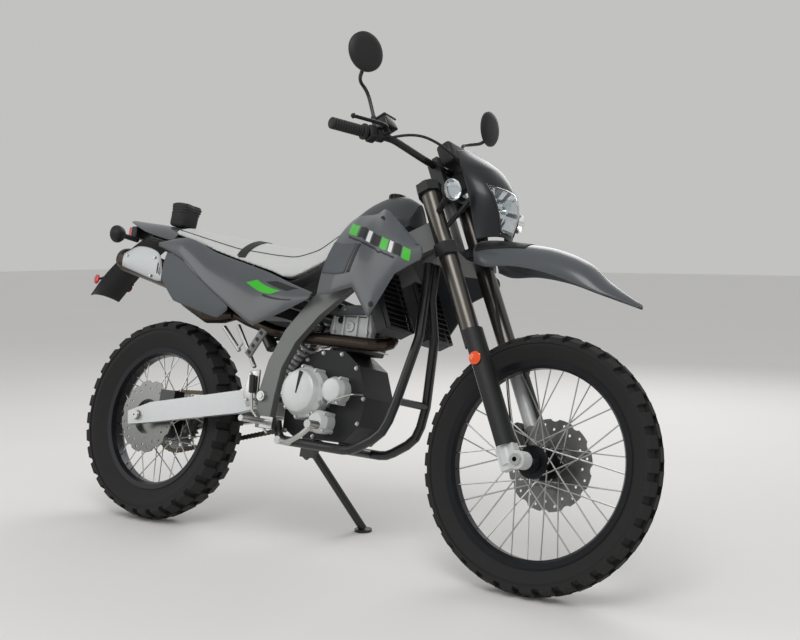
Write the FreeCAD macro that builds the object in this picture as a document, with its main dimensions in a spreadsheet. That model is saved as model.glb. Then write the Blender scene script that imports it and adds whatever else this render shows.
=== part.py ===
import FreeCAD, Part
import math
import os
from types import SimpleNamespace
import Sketcher

# A dual sport motorcycle leaning on its side stand, in millimetres.
# Each piece is laid out on the upright machine: X forward, Y to its left, Z up from the ground.
# The bodywork is laid out from the swingarm pivot and the steering axis.
# At the end the whole machine is leaned over and set on the origin.

Vector = FreeCAD.Vector
Placement = FreeCAD.Placement
Rotation = FreeCAD.Rotation
ALONG_X = Vector(1, 0, 0)
ALONG_Y = Vector(0, 1, 0)
ALONG_Z = Vector(0, 0, 1)

sizes = {
    # Stance and steering
    "lean_angle": 13.67,
    "rake_angle": 26.7,
    "steering_foot": 1547,
    "pivot_forward": 552,
    "pivot_height": 440,
    "swingarm_length": 552,
    "leg_offset": 27,
    "axle_lead": 32.4,
    "leg_spacing": 200,
    # Tyres and rims
    "front_radius": 345,
    "front_half_width": 41,
    "front_bead_radius": 267,
    "front_rim_half_width": 24,
    "rear_radius": 333,
    "rear_half_width": 56,
    "rear_bead_radius": 229,
    "rear_rim_half_width": 31,
    "front_crown_half_width": 12,
    "front_shoulder_drop": 12,
    "front_lug_depth": 10,
    "front_lug_count": 36,
    "rear_crown_half_width": 14,
    "rear_shoulder_drop": 16,
    "rear_lug_depth": 12,
    "rear_lug_count": 32,
    "groove_width": 4,
    "lug_share": 0.6,
    "lug_flare": 0.06,
    "lug_base": 3,
    "rim_depth": 15,
    "rim_flange": 9,
    "rim_lip": 4,
    # Hubs, spokes and axles
    "front_flange_radius": 44,
    "rear_flange_radius": 62,
    "hub_core_radius": 27,
    "front_hub_half_width": 36,
    "rear_hub_half_width": 42,
    "flange_thickness": 6,
    "spoke_radius": 2,
    "spoke_count": 36,
    "front_axle_radius": 10,
    "front_axle_bore": 6.5,
    "rear_axle_radius": 10,
    "running_gap": 0.3,
    # Brakes and final drive
    "front_disc_radius": 125,
    "rear_disc_radius": 120,
    "disc_thickness": 4,
    "disc_petals": 12,
    "petal_radius": 18,
    "disc_hole_radius": 4,
    "disc_hole_inset": 14,
    "front_disc_side": 66,
    "rear_disc_side": 70,
    "chain_side": 76,
    "chain_pitch": 15.875,
    "chain_width": 12,
    "chain_height": 15,
    "chain_waist": 2,
    "roller_radius": 4.5,
    "sprocket_thickness": 6,
    "tooth_rise": 4,
    "tooth_fall": 5,
    "rear_sprocket_teeth": 40,
    "front_sprocket_teeth": 14,
    # Fork
    "upper_tube_radius": 26.5,
    "lower_tube_radius": 21.5,
    "low_clamp_foot": 972,
    "low_clamp_height": 36,
    "head_gap": 3,
    "head_length": 164,
    "top_clamp_height": 28,
    "tube_above_clamp": 8,
    "tube_below_clamp": 272,
    "lower_tube_insert": 60,
    "axle_boss_radius": 24,
    "axle_boss_width": 44,
    "stem_radius": 15,
    "head_radius": 31,
    "guard_thickness": 3,
    "guard_overlap": 42,
    # Handlebar
    "bar_radius": 11.1,
    "grip_radius": 16.5,
    "bar_stand": 77,
    "bar_forward": 42,
    "bar_half_width": 405,
    "bar_centre_half_width": 80,
    "bar_rise": 52,
    "bar_tip_rise": 69,
    "bar_sweep": 92,
    "grip_length": 118,
    "mirror_radius": 57,
    "mirror_depth": 16,
    "stem_rod_radius": 5,
    # Frame and running gear
    "spar_width": 26,
    "spar_half_spacing": 118,
    "cradle_radius": 14,
    "seat_rail_radius": 12,
    "arm_width": 28,
    "arm_side": 106,
    "peg_radius": 9,
    "header_radius": 19,
    "hose_radius": 4,
    "cover_lug_radius": 7,
    "cap_radius": 27,
    "panel_thickness": 4,
    "shroud_thickness": 4,
    "fender_thickness": 4,
    "stand_radius": 13,
    "stand_pin_radius": 7,
    "cross_tube_radius": 12,
    "pivot_tube_radius": 14,
    "spring_radius": 31,
    "signal_radius": 30,
    "signal_depth": 44,
    "signal_stem_radius": 8,
}

# Heights along the steering axis that follow from them
stack = {
    "top_clamp_foot": "=low_clamp_foot + low_clamp_height + 2 * head_gap + head_length",
    "upper_tube_top": "=top_clamp_foot + top_clamp_height + tube_above_clamp",
    "upper_tube_foot": "=low_clamp_foot - tube_below_clamp",
    "guard_top": "=upper_tube_foot + guard_overlap",
    "bar_height": "=top_clamp_foot + top_clamp_height + bar_stand",
}

document = FreeCAD.newDocument("dual_sport_motorcycle")
sheet = document.addObject("Spreadsheet::Sheet", "Sizes")
for row, (name, value) in enumerate((sizes | stack).items(), 1):
    sheet.set(f"A{row}", name)
    sheet.set(f"B{row}", str(value))
    sheet.setAlias(f"B{row}", name)
document.recompute()
s = SimpleNamespace(**{name: float(sheet.get(name)) for name in sizes | stack})

# What follows from the driving sizes
rake = math.radians(s.rake_angle)
lean = math.radians(s.lean_angle)
axle_offset = s.leg_offset + s.axle_lead
leg_side = s.leg_spacing / 2


def resting_height(wheel):
    """Height of a wheel's axle above the ground, measured up the leaned machine."""
    return getattr(s, f"{wheel}_radius") + getattr(s, f"{wheel}_crown_half_width") * math.tan(lean)


front_axle_height = resting_height("front")
rear_axle_height = resting_height("rear")
axle_along = (front_axle_height - axle_offset * math.sin(rake)) / math.cos(rake)
steering = Placement(Vector(s.steering_foot, 0, 0), Rotation(ALONG_Y, -s.rake_angle))
front_axle = steering.multVec(Vector(axle_offset, 0, axle_along))
rear_axle = Vector(s.pivot_forward - s.swingarm_length, 0, rear_axle_height)
swing_pivot = Vector(s.pivot_forward, 0, s.pivot_height)


# Helpers for points, sketches and solids
def side(point, sign):
    return Vector(point.x, point.y * sign, point.z)


def steered(forward, across, along):
    """A point given from the steering axis, on the upright machine."""
    return steering.multVec(Vector(forward, across, along))


def origin_plane(body, role):
    return next(plane for plane in body.Origin.OriginFeatures if plane.Role == role)


def cell(text):
    """A sketch size: an expression in the sheet's names, or a plain number."""
    return str(text)


def measure(text):
    """The value of such an expression, for the sketch's first drawing."""
    return float(sheet.evalExpression(cell(text)))


def outline_sketch(body, name, role, corners):
    """A closed outline of straight lines whose corners follow the sheet."""
    sketch = body.newObject("Sketcher::SketchObject", name)
    sketch.AttachmentSupport = [(origin_plane(body, role), "")]
    sketch.MapMode = "FlatFace"
    points = [Vector(measure(across), measure(up), 0) for across, up in corners]
    count = len(points)
    for index in range(count):
        sketch.addGeometry(Part.LineSegment(points[index], points[(index + 1) % count]), False)
    for index in range(count):
        sketch.addConstraint(Sketcher.Constraint("Coincident", index, 2, (index + 1) % count, 1))
    for index, (across, up) in enumerate(corners):
        for kind, text, value in (
            ("DistanceX", across, points[index].x),
            ("DistanceY", up, points[index].y),
        ):
            constraint = sketch.addConstraint(Sketcher.Constraint(kind, -1, 1, index, 1, value))
            sketch.setExpression(f"Constraints[{constraint}]", cell(text))
    return sketch


def revolved(name, corners, place, role="XY_Plane"):
    """A body turned about its own Y axis from a profile of (radius, across) corners."""
    body = document.addObject("PartDesign::Body", name)
    sketch = outline_sketch(body, name + "_profile", role, corners)
    turn = body.newObject("PartDesign::Revolution", name + "_turn")
    turn.Profile = sketch
    turn.ReferenceAxis = (sketch, ["V_Axis"])
    turn.Angle = 360
    body.Placement = place
    return body


def padded(name, role, corners, depth, place=Placement(), middle=True):
    """A body raised from an outline in one of its own planes."""
    body = document.addObject("PartDesign::Body", name)
    sketch = outline_sketch(body, name + "_outline", role, corners)
    pad = body.newObject("PartDesign::Pad", name + "_pad")
    pad.Profile = sketch
    pad.setExpression("Length", cell(depth))
    pad.Midplane = middle
    body.Placement = place
    return body


def cylinder(name, radius, height, foot, direction):
    """A cylinder that stands on a point and follows the sheet."""
    piece = document.addObject("Part::Cylinder", name)
    piece.setExpression("Radius", cell(radius))
    piece.setExpression("Height", cell(height))
    piece.Placement = Placement(foot, Rotation(ALONG_Z, direction))
    return piece


def box(name, length, width, height):
    """A block that stands on its own corner and gets its place afterwards."""
    piece = document.addObject("Part::Box", name)
    for edge, size in (("Length", length), ("Width", width), ("Height", height)):
        piece.setExpression(edge, cell(size))
    return piece


def prism(name, radius, height, foot, direction):
    """An eight-sided post that stands on a point."""
    piece = document.addObject("Part::Prism", name)
    piece.Polygon = 8
    piece.setExpression("Circumradius", cell(radius))
    piece.setExpression("Height", cell(height))
    piece.Placement = Placement(foot, Rotation(ALONG_Z, direction))
    return piece


def cut(name, base, tool):
    piece = document.addObject("Part::Cut", name)
    piece.Base = base
    piece.Tool = tool
    return piece


def joined(name, pieces):
    piece = document.addObject("Part::MultiFuse", name)
    piece.Shapes = pieces
    return piece


def grouped(name, pieces):
    """Several separate solids kept as one sub-part."""
    piece = document.addObject("Part::Compound", name)
    piece.Links = pieces
    return piece


def mirrored(name, source):
    """The same piece on the machine's other side."""
    piece = document.addObject("Part::Mirroring", name)
    piece.Source = source
    piece.Base = Vector(0, 0, 0)
    piece.Normal = ALONG_Y
    return piece


def pair(name, source):
    return grouped(name, [source, mirrored(name + "_left", source)])


def shaped(name, shape, place=Placement()):
    """A free form that no sketch holds: lofted panels, hulls and routes."""
    piece = document.addObject("Part::Feature", name)
    piece.Shape = shape
    piece.Placement = place
    return piece


def route(points, bend=None, radii=None):
    """Straight runs joined by tangent arcs, as large as the runs allow."""
    edges = []
    start = points[0]
    for before, corner, after in zip(points, points[1:], points[2:]):
        back = before - corner
        ahead = after - corner
        half_turn = (math.pi - back.getAngle(ahead)) / 2
        reach = 0.45 * min(back.Length, ahead.Length)
        if bend:
            reach = min(reach, bend * math.tan(half_turn))
        radius = reach / math.tan(half_turn)
        if radii is not None:
            radii.append(round(radius))
        back.normalize()
        ahead.normalize()
        first = corner + back * reach
        last = corner + ahead * reach
        inward = back + ahead
        inward.normalize()
        middle = corner + inward * (radius / math.cos(half_turn) - radius)
        edges.append(Part.LineSegment(start, first).toShape())
        edges.append(Part.Arc(first, middle, last).toShape())
        start = last
    edges.append(Part.LineSegment(start, points[-1]).toShape())
    return Part.Wire(edges)


def hosed(name, points, radius):
    """A free hose along its real route; prints its bends and compares its volume with its length."""
    size = measure(radius)
    radii = []
    path = route(points, radii=radii)
    ring = Part.makeCircle(size, points[0], points[1] - points[0])
    hose = path.makePipe(Part.Face(Part.Wire(ring)))
    share = hose.Volume / (math.pi * size ** 2 * path.Length)
    print(name, "length", round(path.Length), "bend radii", radii, "volume over section times length", round(share, 4))
    return shaped(name, hose)


def closed_wire(points):
    return Part.makePolygon(points + points[:1])


def bent(name, points, radius, bend=None, sides=16):
    """A bent tube with light facets: many-sided rings along the route joined by flat walls."""
    size = measure(radius)
    facing = ALONG_Z
    turn = Rotation()
    rings = []
    for edge in route(points, bend).Edges:
        first = edge.valueAt(edge.FirstParameter)
        last = edge.valueAt(edge.LastParameter)
        straight = edge.Curve.TypeId == "Part::GeomLine"
        middle = edge.valueAt((edge.FirstParameter + edge.LastParameter) / 2)
        for centre in (first, last) if straight else (middle,):
            turn = Rotation(facing, last - first).multiply(turn)
            facing = last - first
            rings.append(closed_wire([
                centre + turn.multVec(Vector(size * math.cos(angle), size * math.sin(angle), 0))
                for angle in (2 * math.pi * side_index / sides for side_index in range(sides))
            ]))
    return shaped(name, Part.makeLoft(rings, True, True))


def arc_points(first, middle, last, depth, strips):
    """Points along an arc through three points, moved inward by a depth."""
    arc = Part.Arc(first, middle, last).toShape()
    centre = arc.Curve.Center
    shrink = 1 - depth / arc.Curve.Radius
    return [centre + (point - centre) * shrink for point in arc.discretize(strips + 1)]


def panel_shape(stations, thickness, strips=6, lift=0):
    """A curved panel through stations of three points: one edge, the middle, the other edge."""
    return Part.makeLoft([
        closed_wire(arc_points(*station, -lift, strips) + arc_points(*station, thickness, strips)[::-1])
        for station in stations
    ], True, True)


def under_panel(stations, depth, strips=6):
    """The whole space under such a panel, from a depth below its outer face."""
    return Part.makeLoft([closed_wire(arc_points(*station, depth, strips)) for station in stations], True, True)


def block_shape(stations, ruled=True):
    """A solid lofted through stations given as closed outlines with as many corners each."""
    return Part.makeLoft([closed_wire(points) for points in stations], True, ruled)


def arched_wire(forward, floor, shoulder, top, low_half, shoulder_half, strips=8):
    """A section across the machine: flat floor, leaning sides and an arched top."""
    low_right = Vector(forward, -low_half, floor)
    low_left = Vector(forward, low_half, floor)
    shoulder_right = Vector(forward, -shoulder_half, shoulder)
    shoulder_left = Vector(forward, shoulder_half, shoulder)
    crown = Part.Arc(shoulder_right, Vector(forward, 0, top), shoulder_left).toShape()
    return closed_wire([low_left, low_right] + crown.discretize(strips + 1))


def arched_shape(stations, ruled=True):
    return Part.makeLoft([arched_wire(*station) for station in stations], True, ruled)


# Wheels
def toothed_wire(across, count, tip, root, tip_share, root_share, offset=0.0):
    """A ring of straight-sided teeth round the wheel's axis, with one tooth at the very bottom."""
    pitch = 2 * math.pi / count
    corner = tip / math.cos(pitch * tip_share / 2)
    points = []
    for index in range(count):
        middle = pitch * (index + offset) - math.pi / 2
        for radius, share in ((root, -root_share), (corner, -tip_share), (corner, tip_share), (root, root_share)):
            angle = middle + pitch * share / 2
            points.append(Vector(radius * math.cos(angle), across, radius * math.sin(angle)))
    return closed_wire(points)


def lug_ring(wheel, near, far, near_drop, far_drop, offset):
    """One row of lugs round a tyre, from its near side to its far side."""
    radius = getattr(s, f"{wheel}_radius")
    depth = getattr(s, f"{wheel}_lug_depth")
    count = int(getattr(s, f"{wheel}_lug_count"))
    wires = [
        toothed_wire(across, count, radius - drop, radius - drop - depth,
                     s.lug_share, s.lug_share + s.lug_flare, offset)
        for across, drop in ((near, near_drop), (far, far_drop))
    ]
    inside = radius - max(near_drop, far_drop) - depth - 2 * s.lug_base
    hollow = Part.makeCylinder(inside, abs(far - near) + 2, Vector(0, min(near, far) - 1, 0), ALONG_Y)
    return shaped(wheel + "_lug_ring", Part.makeLoft(wires, True, True).cut(hollow))


def tyre(name, wheel, place):
    """A carcass turned from its section, with a crown row and two shoulder rows of lugs."""
    radius = f"Sizes.{wheel}_radius"
    half = f"Sizes.{wheel}_half_width"
    bead = f"Sizes.{wheel}_bead_radius"
    crown = f"Sizes.{wheel}_crown_half_width"
    floor = f"{radius} - Sizes.{wheel}_lug_depth - Sizes.lug_base"
    drop = f"Sizes.{wheel}_shoulder_drop"
    seat = f"Sizes.{wheel}_rim_half_width - Sizes.rim_lip - Sizes.running_gap"
    right = [
        (f"{bead} + Sizes.running_gap", f"-({seat})"),
        (f"{bead} + Sizes.rim_flange + 4", f"-({seat} + 2)"),
        (f"({bead} + {radius}) / 2 + 4", f"-({half} - Sizes.lug_base)"),
        (f"{floor} - {drop}", f"-({half} - Sizes.lug_base)"),
        (f"{floor}", f"-({crown} + Sizes.groove_width)"),
    ]
    left = [(along, across.replace("-", "", 1)) for along, across in reversed(right)]
    carcass = revolved(wheel + "_carcass", right + left, Placement())
    crown_half = getattr(s, f"{wheel}_crown_half_width")
    shoulder_near = crown_half + s.groove_width
    shoulder_far = getattr(s, f"{wheel}_half_width")
    shoulder_drop = getattr(s, f"{wheel}_shoulder_drop")
    rings = [lug_ring(wheel, -crown_half, crown_half, 0, 0, 0)]
    for hand in (-1, 1):
        rings.append(lug_ring(wheel, hand * shoulder_near, hand * shoulder_far, 2, shoulder_drop, 0.5))
    treaded = joined(name, [carcass] + rings)
    treaded.Placement = place
    return treaded


def rim(name, wheel, place):
    bead = f"Sizes.{wheel}_bead_radius"
    half = f"Sizes.{wheel}_rim_half_width"
    right = [
        (f"{bead}", f"-({half} - Sizes.rim_lip)"),
        (f"{bead} + Sizes.rim_flange", f"-({half})"),
        (f"{bead} - Sizes.rim_depth / 2", f"-({half} - 2)"),
        (f"{bead} - Sizes.rim_depth", f"-({half}) / 2"),
    ]
    left = [(along, across.replace("-", "", 1)) for along, across in reversed(right)]
    return revolved(name, right + left, place)


def hub(name, wheel, place):
    """A barrel with a spoke flange at each side and a bearing bore."""
    half = f"Sizes.{wheel}_hub_half_width"
    flange = f"Sizes.{wheel}_flange_radius"
    bore = f"Sizes.{wheel}_axle_radius + Sizes.running_gap"
    right = [
        (bore, f"-({half} + Sizes.flange_thickness)"),
        ("Sizes.hub_core_radius", f"-({half} + Sizes.flange_thickness)"),
        ("Sizes.hub_core_radius", f"-({half})"),
        (flange, f"-({half})"),
        (flange, f"-({half} - Sizes.flange_thickness)"),
        ("Sizes.hub_core_radius", f"-({half} - Sizes.flange_thickness)"),
    ]
    left = [(along, across.replace("-", "", 1)) for along, across in reversed(right)]
    return revolved(name, right + left, place)


def spokes(name, wheel, place):
    """Crossed spokes: each leaves its flange along a tangent and ends at the rim."""
    half = getattr(s, f"{wheel}_hub_half_width") - s.flange_thickness / 2
    layer = s.spoke_radius + 2 * s.running_gap
    flange = getattr(s, f"{wheel}_flange_radius") + s.spoke_radius + s.running_gap
    rim_foot = getattr(s, f"{wheel}_bead_radius") - s.rim_depth - 3 * s.running_gap
    count = int(s.spoke_count)
    pieces = []
    for index in range(count):
        hub_angle = 2 * math.pi * index / count
        lean_way = 1 if index % 4 < 2 else -1
        hand = 1 if index % 2 else -1
        rim_angle = hub_angle + lean_way * math.radians(60)
        across = half + lean_way * layer
        foot = Vector(flange * math.cos(hub_angle), hand * across, flange * math.sin(hub_angle))
        head = Vector(rim_foot * math.cos(rim_angle), hand * 5, rim_foot * math.sin(rim_angle))
        direction = head - foot
        ring = Part.makePolygon([
            Vector(s.spoke_radius * math.cos(turn), s.spoke_radius * math.sin(turn), 0)
            for turn in (math.radians(60 * corner) for corner in range(7))
        ])
        ring.Placement = Placement(foot, Rotation(ALONG_Z, direction))
        pieces.append(Part.Face(ring).extrude(direction))
    return shaped(name, Part.makeCompound(pieces), place)


front_wheel = Placement(front_axle, Rotation())
rear_wheel = Placement(rear_axle, Rotation())

tyre("front_tyre", "front", front_wheel)
tyre("rear_tyre", "rear", rear_wheel)
rim("front_rim", "front", front_wheel)
rim("rear_rim", "rear", rear_wheel)
hub("front_hub", "front", front_wheel)
hub("rear_hub", "rear", rear_wheel)
spokes("front_spokes", "front", front_wheel)
spokes("rear_spokes", "rear", rear_wheel)


# Discs and sprocket
def dished_plate(name, wheel, outer, across, thickness, hand, place):
    """A plate held on the end of its hub by a hat."""
    seat = f"(Sizes.{wheel}_hub_half_width + Sizes.flange_thickness + Sizes.running_gap)"
    bore = f"(Sizes.{wheel}_axle_radius + 8)"
    hat = "(Sizes.hub_core_radius + 36)"
    corners = [
        (bore, seat),
        (hat, seat),
        (hat, f"{across} - {thickness} / 2"),
        (outer, f"{across} - {thickness} / 2"),
        (outer, f"{across} + {thickness} / 2"),
        (f"{hat} - 5", f"{across} + {thickness} / 2"),
        (f"{hat} - 5", f"{seat} + 5"),
        (bore, f"{seat} + 5"),
    ]
    handed = [(along, f"{hand} * ({reach})") for along, reach in corners]
    return revolved(name, handed, place)


def ring_of_holes(radius, count, hole_radius, start=0.0, sides=10):
    """Many-sided cutters along the axle, evenly spaced on a circle."""
    holes = []
    for index in range(count):
        angle = 2 * math.pi * (index + start) / count
        centre = Vector(radius * math.cos(angle), -s.arm_side, radius * math.sin(angle))
        ring = closed_wire([
            centre + Vector(hole_radius * math.cos(turn), 0, hole_radius * math.sin(turn))
            for turn in (angle + 2 * math.pi * (corner + 0.5) / sides for corner in range(sides))
        ])
        holes.append(Part.Face(ring).extrude(ALONG_Y * (2 * s.arm_side)))
    return holes


def petal_disc(name, wheel, hand, place):
    """A brake disc on its hat, with a waved rim and two rings of drilled holes."""
    radius = getattr(s, f"{wheel}_disc_radius")
    count = int(s.disc_petals)
    plate = dished_plate(name + "_plate", wheel, f"Sizes.{wheel}_disc_radius", f"Sizes.{wheel}_disc_side",
                         "Sizes.disc_thickness", hand, Placement())
    cutters = ring_of_holes(radius + s.petal_radius * 0.62, count, s.petal_radius, sides=16)
    cutters += ring_of_holes(radius - s.disc_hole_inset, count, s.disc_hole_radius, 0.5)
    cutters += ring_of_holes(radius - 2 * s.disc_hole_inset, count, s.disc_hole_radius)
    drilled = cut(name, plate, shaped(name + "_holes", Part.makeCompound(cutters)))
    drilled.Placement = place
    return drilled


petal_disc("front_disc", "front", 1, front_wheel)
petal_disc("rear_disc", "rear", -1, rear_wheel)


def pitch_radius(teeth):
    return s.chain_pitch / 2 / math.sin(math.pi / teeth)


def tooth_ring(name, teeth, rim_width, across):
    """A sprocket's toothed rim, centred on the chain's line."""
    pitch_line = pitch_radius(teeth)
    foot = across - s.sprocket_thickness / 2
    wire = toothed_wire(foot, int(teeth), pitch_line + s.tooth_rise, pitch_line - s.tooth_fall, 0.22, 0.62)
    face = Part.Face(wire)
    if rim_width:
        inner = pitch_line - s.tooth_fall - rim_width
        face = face.cut(Part.Face(Part.Wire(Part.makeCircle(inner, Vector(0, foot, 0), ALONG_Y))))
    return shaped(name, face.extrude(Vector(0, s.sprocket_thickness, 0)))


rear_web = dished_plate("rear_web", "rear", f"{pitch_radius(s.rear_sprocket_teeth) - s.tooth_fall - 2}",
                        "Sizes.chain_side", "Sizes.sprocket_thickness", 1, Placement())
rear_teeth = tooth_ring("rear_teeth", s.rear_sprocket_teeth, 6, s.chain_side)
lightening = shaped("sprocket_holes", Part.makeCompound(ring_of_holes(
    (s.hub_core_radius + 36 + pitch_radius(s.rear_sprocket_teeth) - s.tooth_fall) / 2, 10, 9)))
cut("rear_sprocket", joined("rear_sprocket_blank", [rear_web, rear_teeth]), lightening).Placement = rear_wheel


# Axles
def axle(name, wheel, bore, end, head, place):
    radius = f"Sizes.{wheel}_axle_radius"
    corners = [
        (bore, f"-({end} + 9)"),
        (head, f"-({end} + 9)"),
        (head, f"-({end} + Sizes.running_gap)"),
        (radius, f"-({end} + Sizes.running_gap)"),
        (radius, f"{end} + 4"),
        (bore, f"{end} + 4"),
    ]
    return revolved(name, corners, place)


axle("front_axle", "front", "Sizes.front_axle_bore",
     "(Sizes.leg_spacing + Sizes.axle_boss_width) / 2", "15", front_wheel)
axle("rear_axle", "rear", "3", "Sizes.arm_side + Sizes.arm_width / 2", "16", rear_wheel)

# Fork
up_fork = steering.Rotation.multVec(ALONG_Z)


def fork_leg(along):
    return steered(s.leg_offset, -leg_side, along)


upper = cylinder("upper_tube", "Sizes.upper_tube_radius",
                 "Sizes.upper_tube_top - Sizes.upper_tube_foot", fork_leg(s.upper_tube_foot), up_fork)
upper_bore = cylinder("upper_tube_bore", "Sizes.lower_tube_radius + Sizes.running_gap",
                      "Sizes.lower_tube_insert + 10", fork_leg(s.upper_tube_foot), up_fork)
pair("fork_tubes", cut("bored_tube", upper, upper_bore))

foot_rise = 48
lower = cylinder("lower_tube", "Sizes.lower_tube_radius",
                 f"Sizes.upper_tube_foot + Sizes.lower_tube_insert - {axle_along}",
                 fork_leg(axle_along), up_fork)
boss = cylinder("axle_boss", "Sizes.axle_boss_radius", "Sizes.axle_boss_width",
                steered(axle_offset, -leg_side - s.axle_boss_width / 2, axle_along), ALONG_Y)
web = box("axle_web", s.axle_lead + s.lower_tube_radius, 30, foot_rise + 14)
web.Placement = steering.multiply(Placement(
    Vector(s.leg_offset - s.lower_tube_radius, -leg_side - 15, axle_along - 14), Rotation()))
foot_bore = cylinder("axle_hole", "Sizes.front_axle_radius + Sizes.running_gap",
                     "Sizes.axle_boss_width + 2",
                     steered(axle_offset, -leg_side - s.axle_boss_width / 2 - 1, axle_along), ALONG_Y)
right_leg = cut("fork_foot", joined("solid_foot", [lower, boss, web]), foot_bore)
caliper_lug = box("caliper_lug", 28, s.lower_tube_radius, 60)
caliper_lug.Placement = steering.multiply(Placement(
    Vector(s.leg_offset - 41, leg_side - s.lower_tube_radius - 0.5, axle_along + 42), Rotation()))
left_leg = joined("left_leg", [mirrored("left_foot", right_leg), caliper_lug])
grouped("fork_sliders", [right_leg, left_leg])

guard_foot = axle_along + foot_rise + s.running_gap
guard_radius = s.upper_tube_radius + 5
guard_outer = Part.makeCylinder(guard_radius + s.guard_thickness, s.guard_top - guard_foot)
guard_inner = Part.makeCylinder(guard_radius, s.guard_top - guard_foot)
guard_keep = Part.makeBox(100, 114, s.guard_top - guard_foot, Vector(-6, -100, 0))
guard_shape = guard_outer.cut(guard_inner).common(guard_keep)
guard_place = steering.multiply(Placement(Vector(s.leg_offset, -leg_side, guard_foot), Rotation()))
pair("fork_guards", shaped("right_guard", guard_shape, guard_place))


# Fork clamps, stem and bar mounts
def clamp_plate(name, foot, height, front):
    reach = leg_side + 36
    half = [
        (-30, -30),
        (s.leg_offset - 36, -leg_side - 6),
        (s.leg_offset - 18, -reach),
        (s.leg_offset + 18, -reach),
        (s.leg_offset + 36, -leg_side - 6),
        (front, -34),
    ]
    corners = half + [(forward, -across) for forward, across in reversed(half)]
    place = steering.multiply(Placement(Vector(0, 0, foot), Rotation()))
    return padded(name, "XY_Plane", corners, height, place, middle=False)


top_plate = clamp_plate("top_clamp", s.top_clamp_foot, "Sizes.top_clamp_height", 48)
low_plate = clamp_plate("low_clamp", s.low_clamp_foot, "Sizes.low_clamp_height", 46)
stem = cylinder("stem", "Sizes.stem_radius",
                "Sizes.top_clamp_foot + Sizes.top_clamp_height + 8 - Sizes.low_clamp_foot",
                steered(0, 0, s.low_clamp_foot), up_fork)
tongue = box("fender_tongue", 60, 40, s.low_clamp_height - 12)
tongue.Placement = steering.multiply(Placement(Vector(45, -20, s.low_clamp_foot + 12), Rotation()))
mount_side = 45
bar_mounts = []
for hand in (-1, 1):
    block = box("bar_mount", 38, 26, s.bar_height + 20 - s.top_clamp_foot - s.top_clamp_height / 2)
    block.Placement = steering.multiply(Placement(
        Vector(s.bar_forward - 19, hand * mount_side - 13, s.top_clamp_foot + s.top_clamp_height / 2),
        Rotation()))
    bar_mounts.append(block)
# Handlebar and what it carries, right hand first
bar_tip = Vector(s.bar_forward - s.bar_sweep, -s.bar_half_width, s.bar_height + s.bar_tip_rise)
bar_elbow = Vector(s.bar_forward - 28, -s.bar_half_width / 2, s.bar_height + s.bar_rise)
bar_knee = Vector(s.bar_forward, -s.bar_centre_half_width, s.bar_height)
right_bar = [bar_tip, bar_elbow, bar_knee]
bar_points = right_bar + [side(point, -1) for point in reversed(right_bar)]
bent("handlebar", [steering.multVec(point) for point in bar_points], "Sizes.bar_radius", 100)

bar_inward = bar_elbow - bar_tip
bar_inward.normalize()
grip_way = steering.Rotation.multVec(bar_inward)


def on_bar(distance):
    """A point on the right end's straight run, measured from its tip."""
    return steering.multVec(bar_tip + bar_inward * distance)


grip = cylinder("grip", "Sizes.grip_radius", "Sizes.grip_length", on_bar(0), grip_way)
grip_bore = cylinder("grip_bore", "Sizes.bar_radius + Sizes.running_gap", "Sizes.grip_length",
                     on_bar(0), grip_way)
pair("grips", cut("right_grip", grip, grip_bore))

switch_at = s.grip_length + s.running_gap
switch = cylinder("switch_pod", "Sizes.bar_radius + 10", "32", on_bar(switch_at), grip_way)
perch = cylinder("lever_perch", "Sizes.bar_radius + 6", "26", on_bar(switch_at + 34), grip_way)
neck = cylinder("perch_neck", "Sizes.bar_radius + 5", "4", on_bar(switch_at + 31), grip_way)
lever_root = steering.multVec(bar_tip + bar_inward * (switch_at + 47) + Vector(12, 0, 0))
lever_knee = steering.multVec(bar_tip + bar_inward * (switch_at + 30) + Vector(52, 0, -4))
lever_tip = steering.multVec(bar_tip + bar_inward * 12 + Vector(62, 0, -8))
lever = bent("lever", [lever_root, lever_knee, lever_tip], "7", 30)
reservoir = cylinder("reservoir", "15", "34", on_bar(switch_at + 47) + up_fork * 8, up_fork)
control_solid = joined("solid_controls", [switch, perch, neck, lever, reservoir])
control_bore = cylinder("control_bore", "Sizes.bar_radius + Sizes.running_gap", "90",
                        on_bar(switch_at - 5), grip_way)
pair("hand_controls", cut("right_controls", control_solid, control_bore))

mirror_centre = steered(77.9, -340, 1539.1)
mirror_head = cylinder("mirror_head", "Sizes.mirror_radius", "Sizes.mirror_depth",
                       mirror_centre, Vector(1, 0, 0.05))
stem_foot = on_bar(switch_at + 47) + up_fork * (8 + 34 + s.running_gap)
stem_top = mirror_centre + Vector(s.mirror_depth / 2, 0, 0)
mirror_stem = bent("mirror_stem", [
    stem_foot,
    stem_foot + up_fork * 60,
    stem_foot + Vector(-40, -46, 120),
    stem_top + Vector(0, 0, -40),
], "Sizes.stem_rod_radius", 60)
pair("mirrors", joined("right_mirror", [mirror_head, mirror_stem]))

# Cowl, lamp, gauge and fender ahead of the steering axis
def across_stations(rows):
    """Stations over the machine's width: edge, crown and other edge."""
    return [
        (Vector(edge_x, -edge_y, edge_z), Vector(crown_x, 0, crown_z), Vector(edge_x, edge_y, edge_z))
        for edge_x, edge_y, edge_z, crown_x, crown_z in rows
    ]


# Rows, from the steering axis: edge forward, edge aside, edge along, crown forward, crown along
cowl_rows = [
    (129.1, 62, 1282.8, 149.7, 1285.8),
    (140.6, 92, 1212.1, 212.1, 1182.8),
    (141.3, 100, 1133.4, 223.5, 1074.1),
    (115.0, 84, 989.9, 170.0, 985.7),
]
cowl = shaped("cowl_skin", panel_shape(across_stations(cowl_rows), s.panel_thickness), steering)


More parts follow.
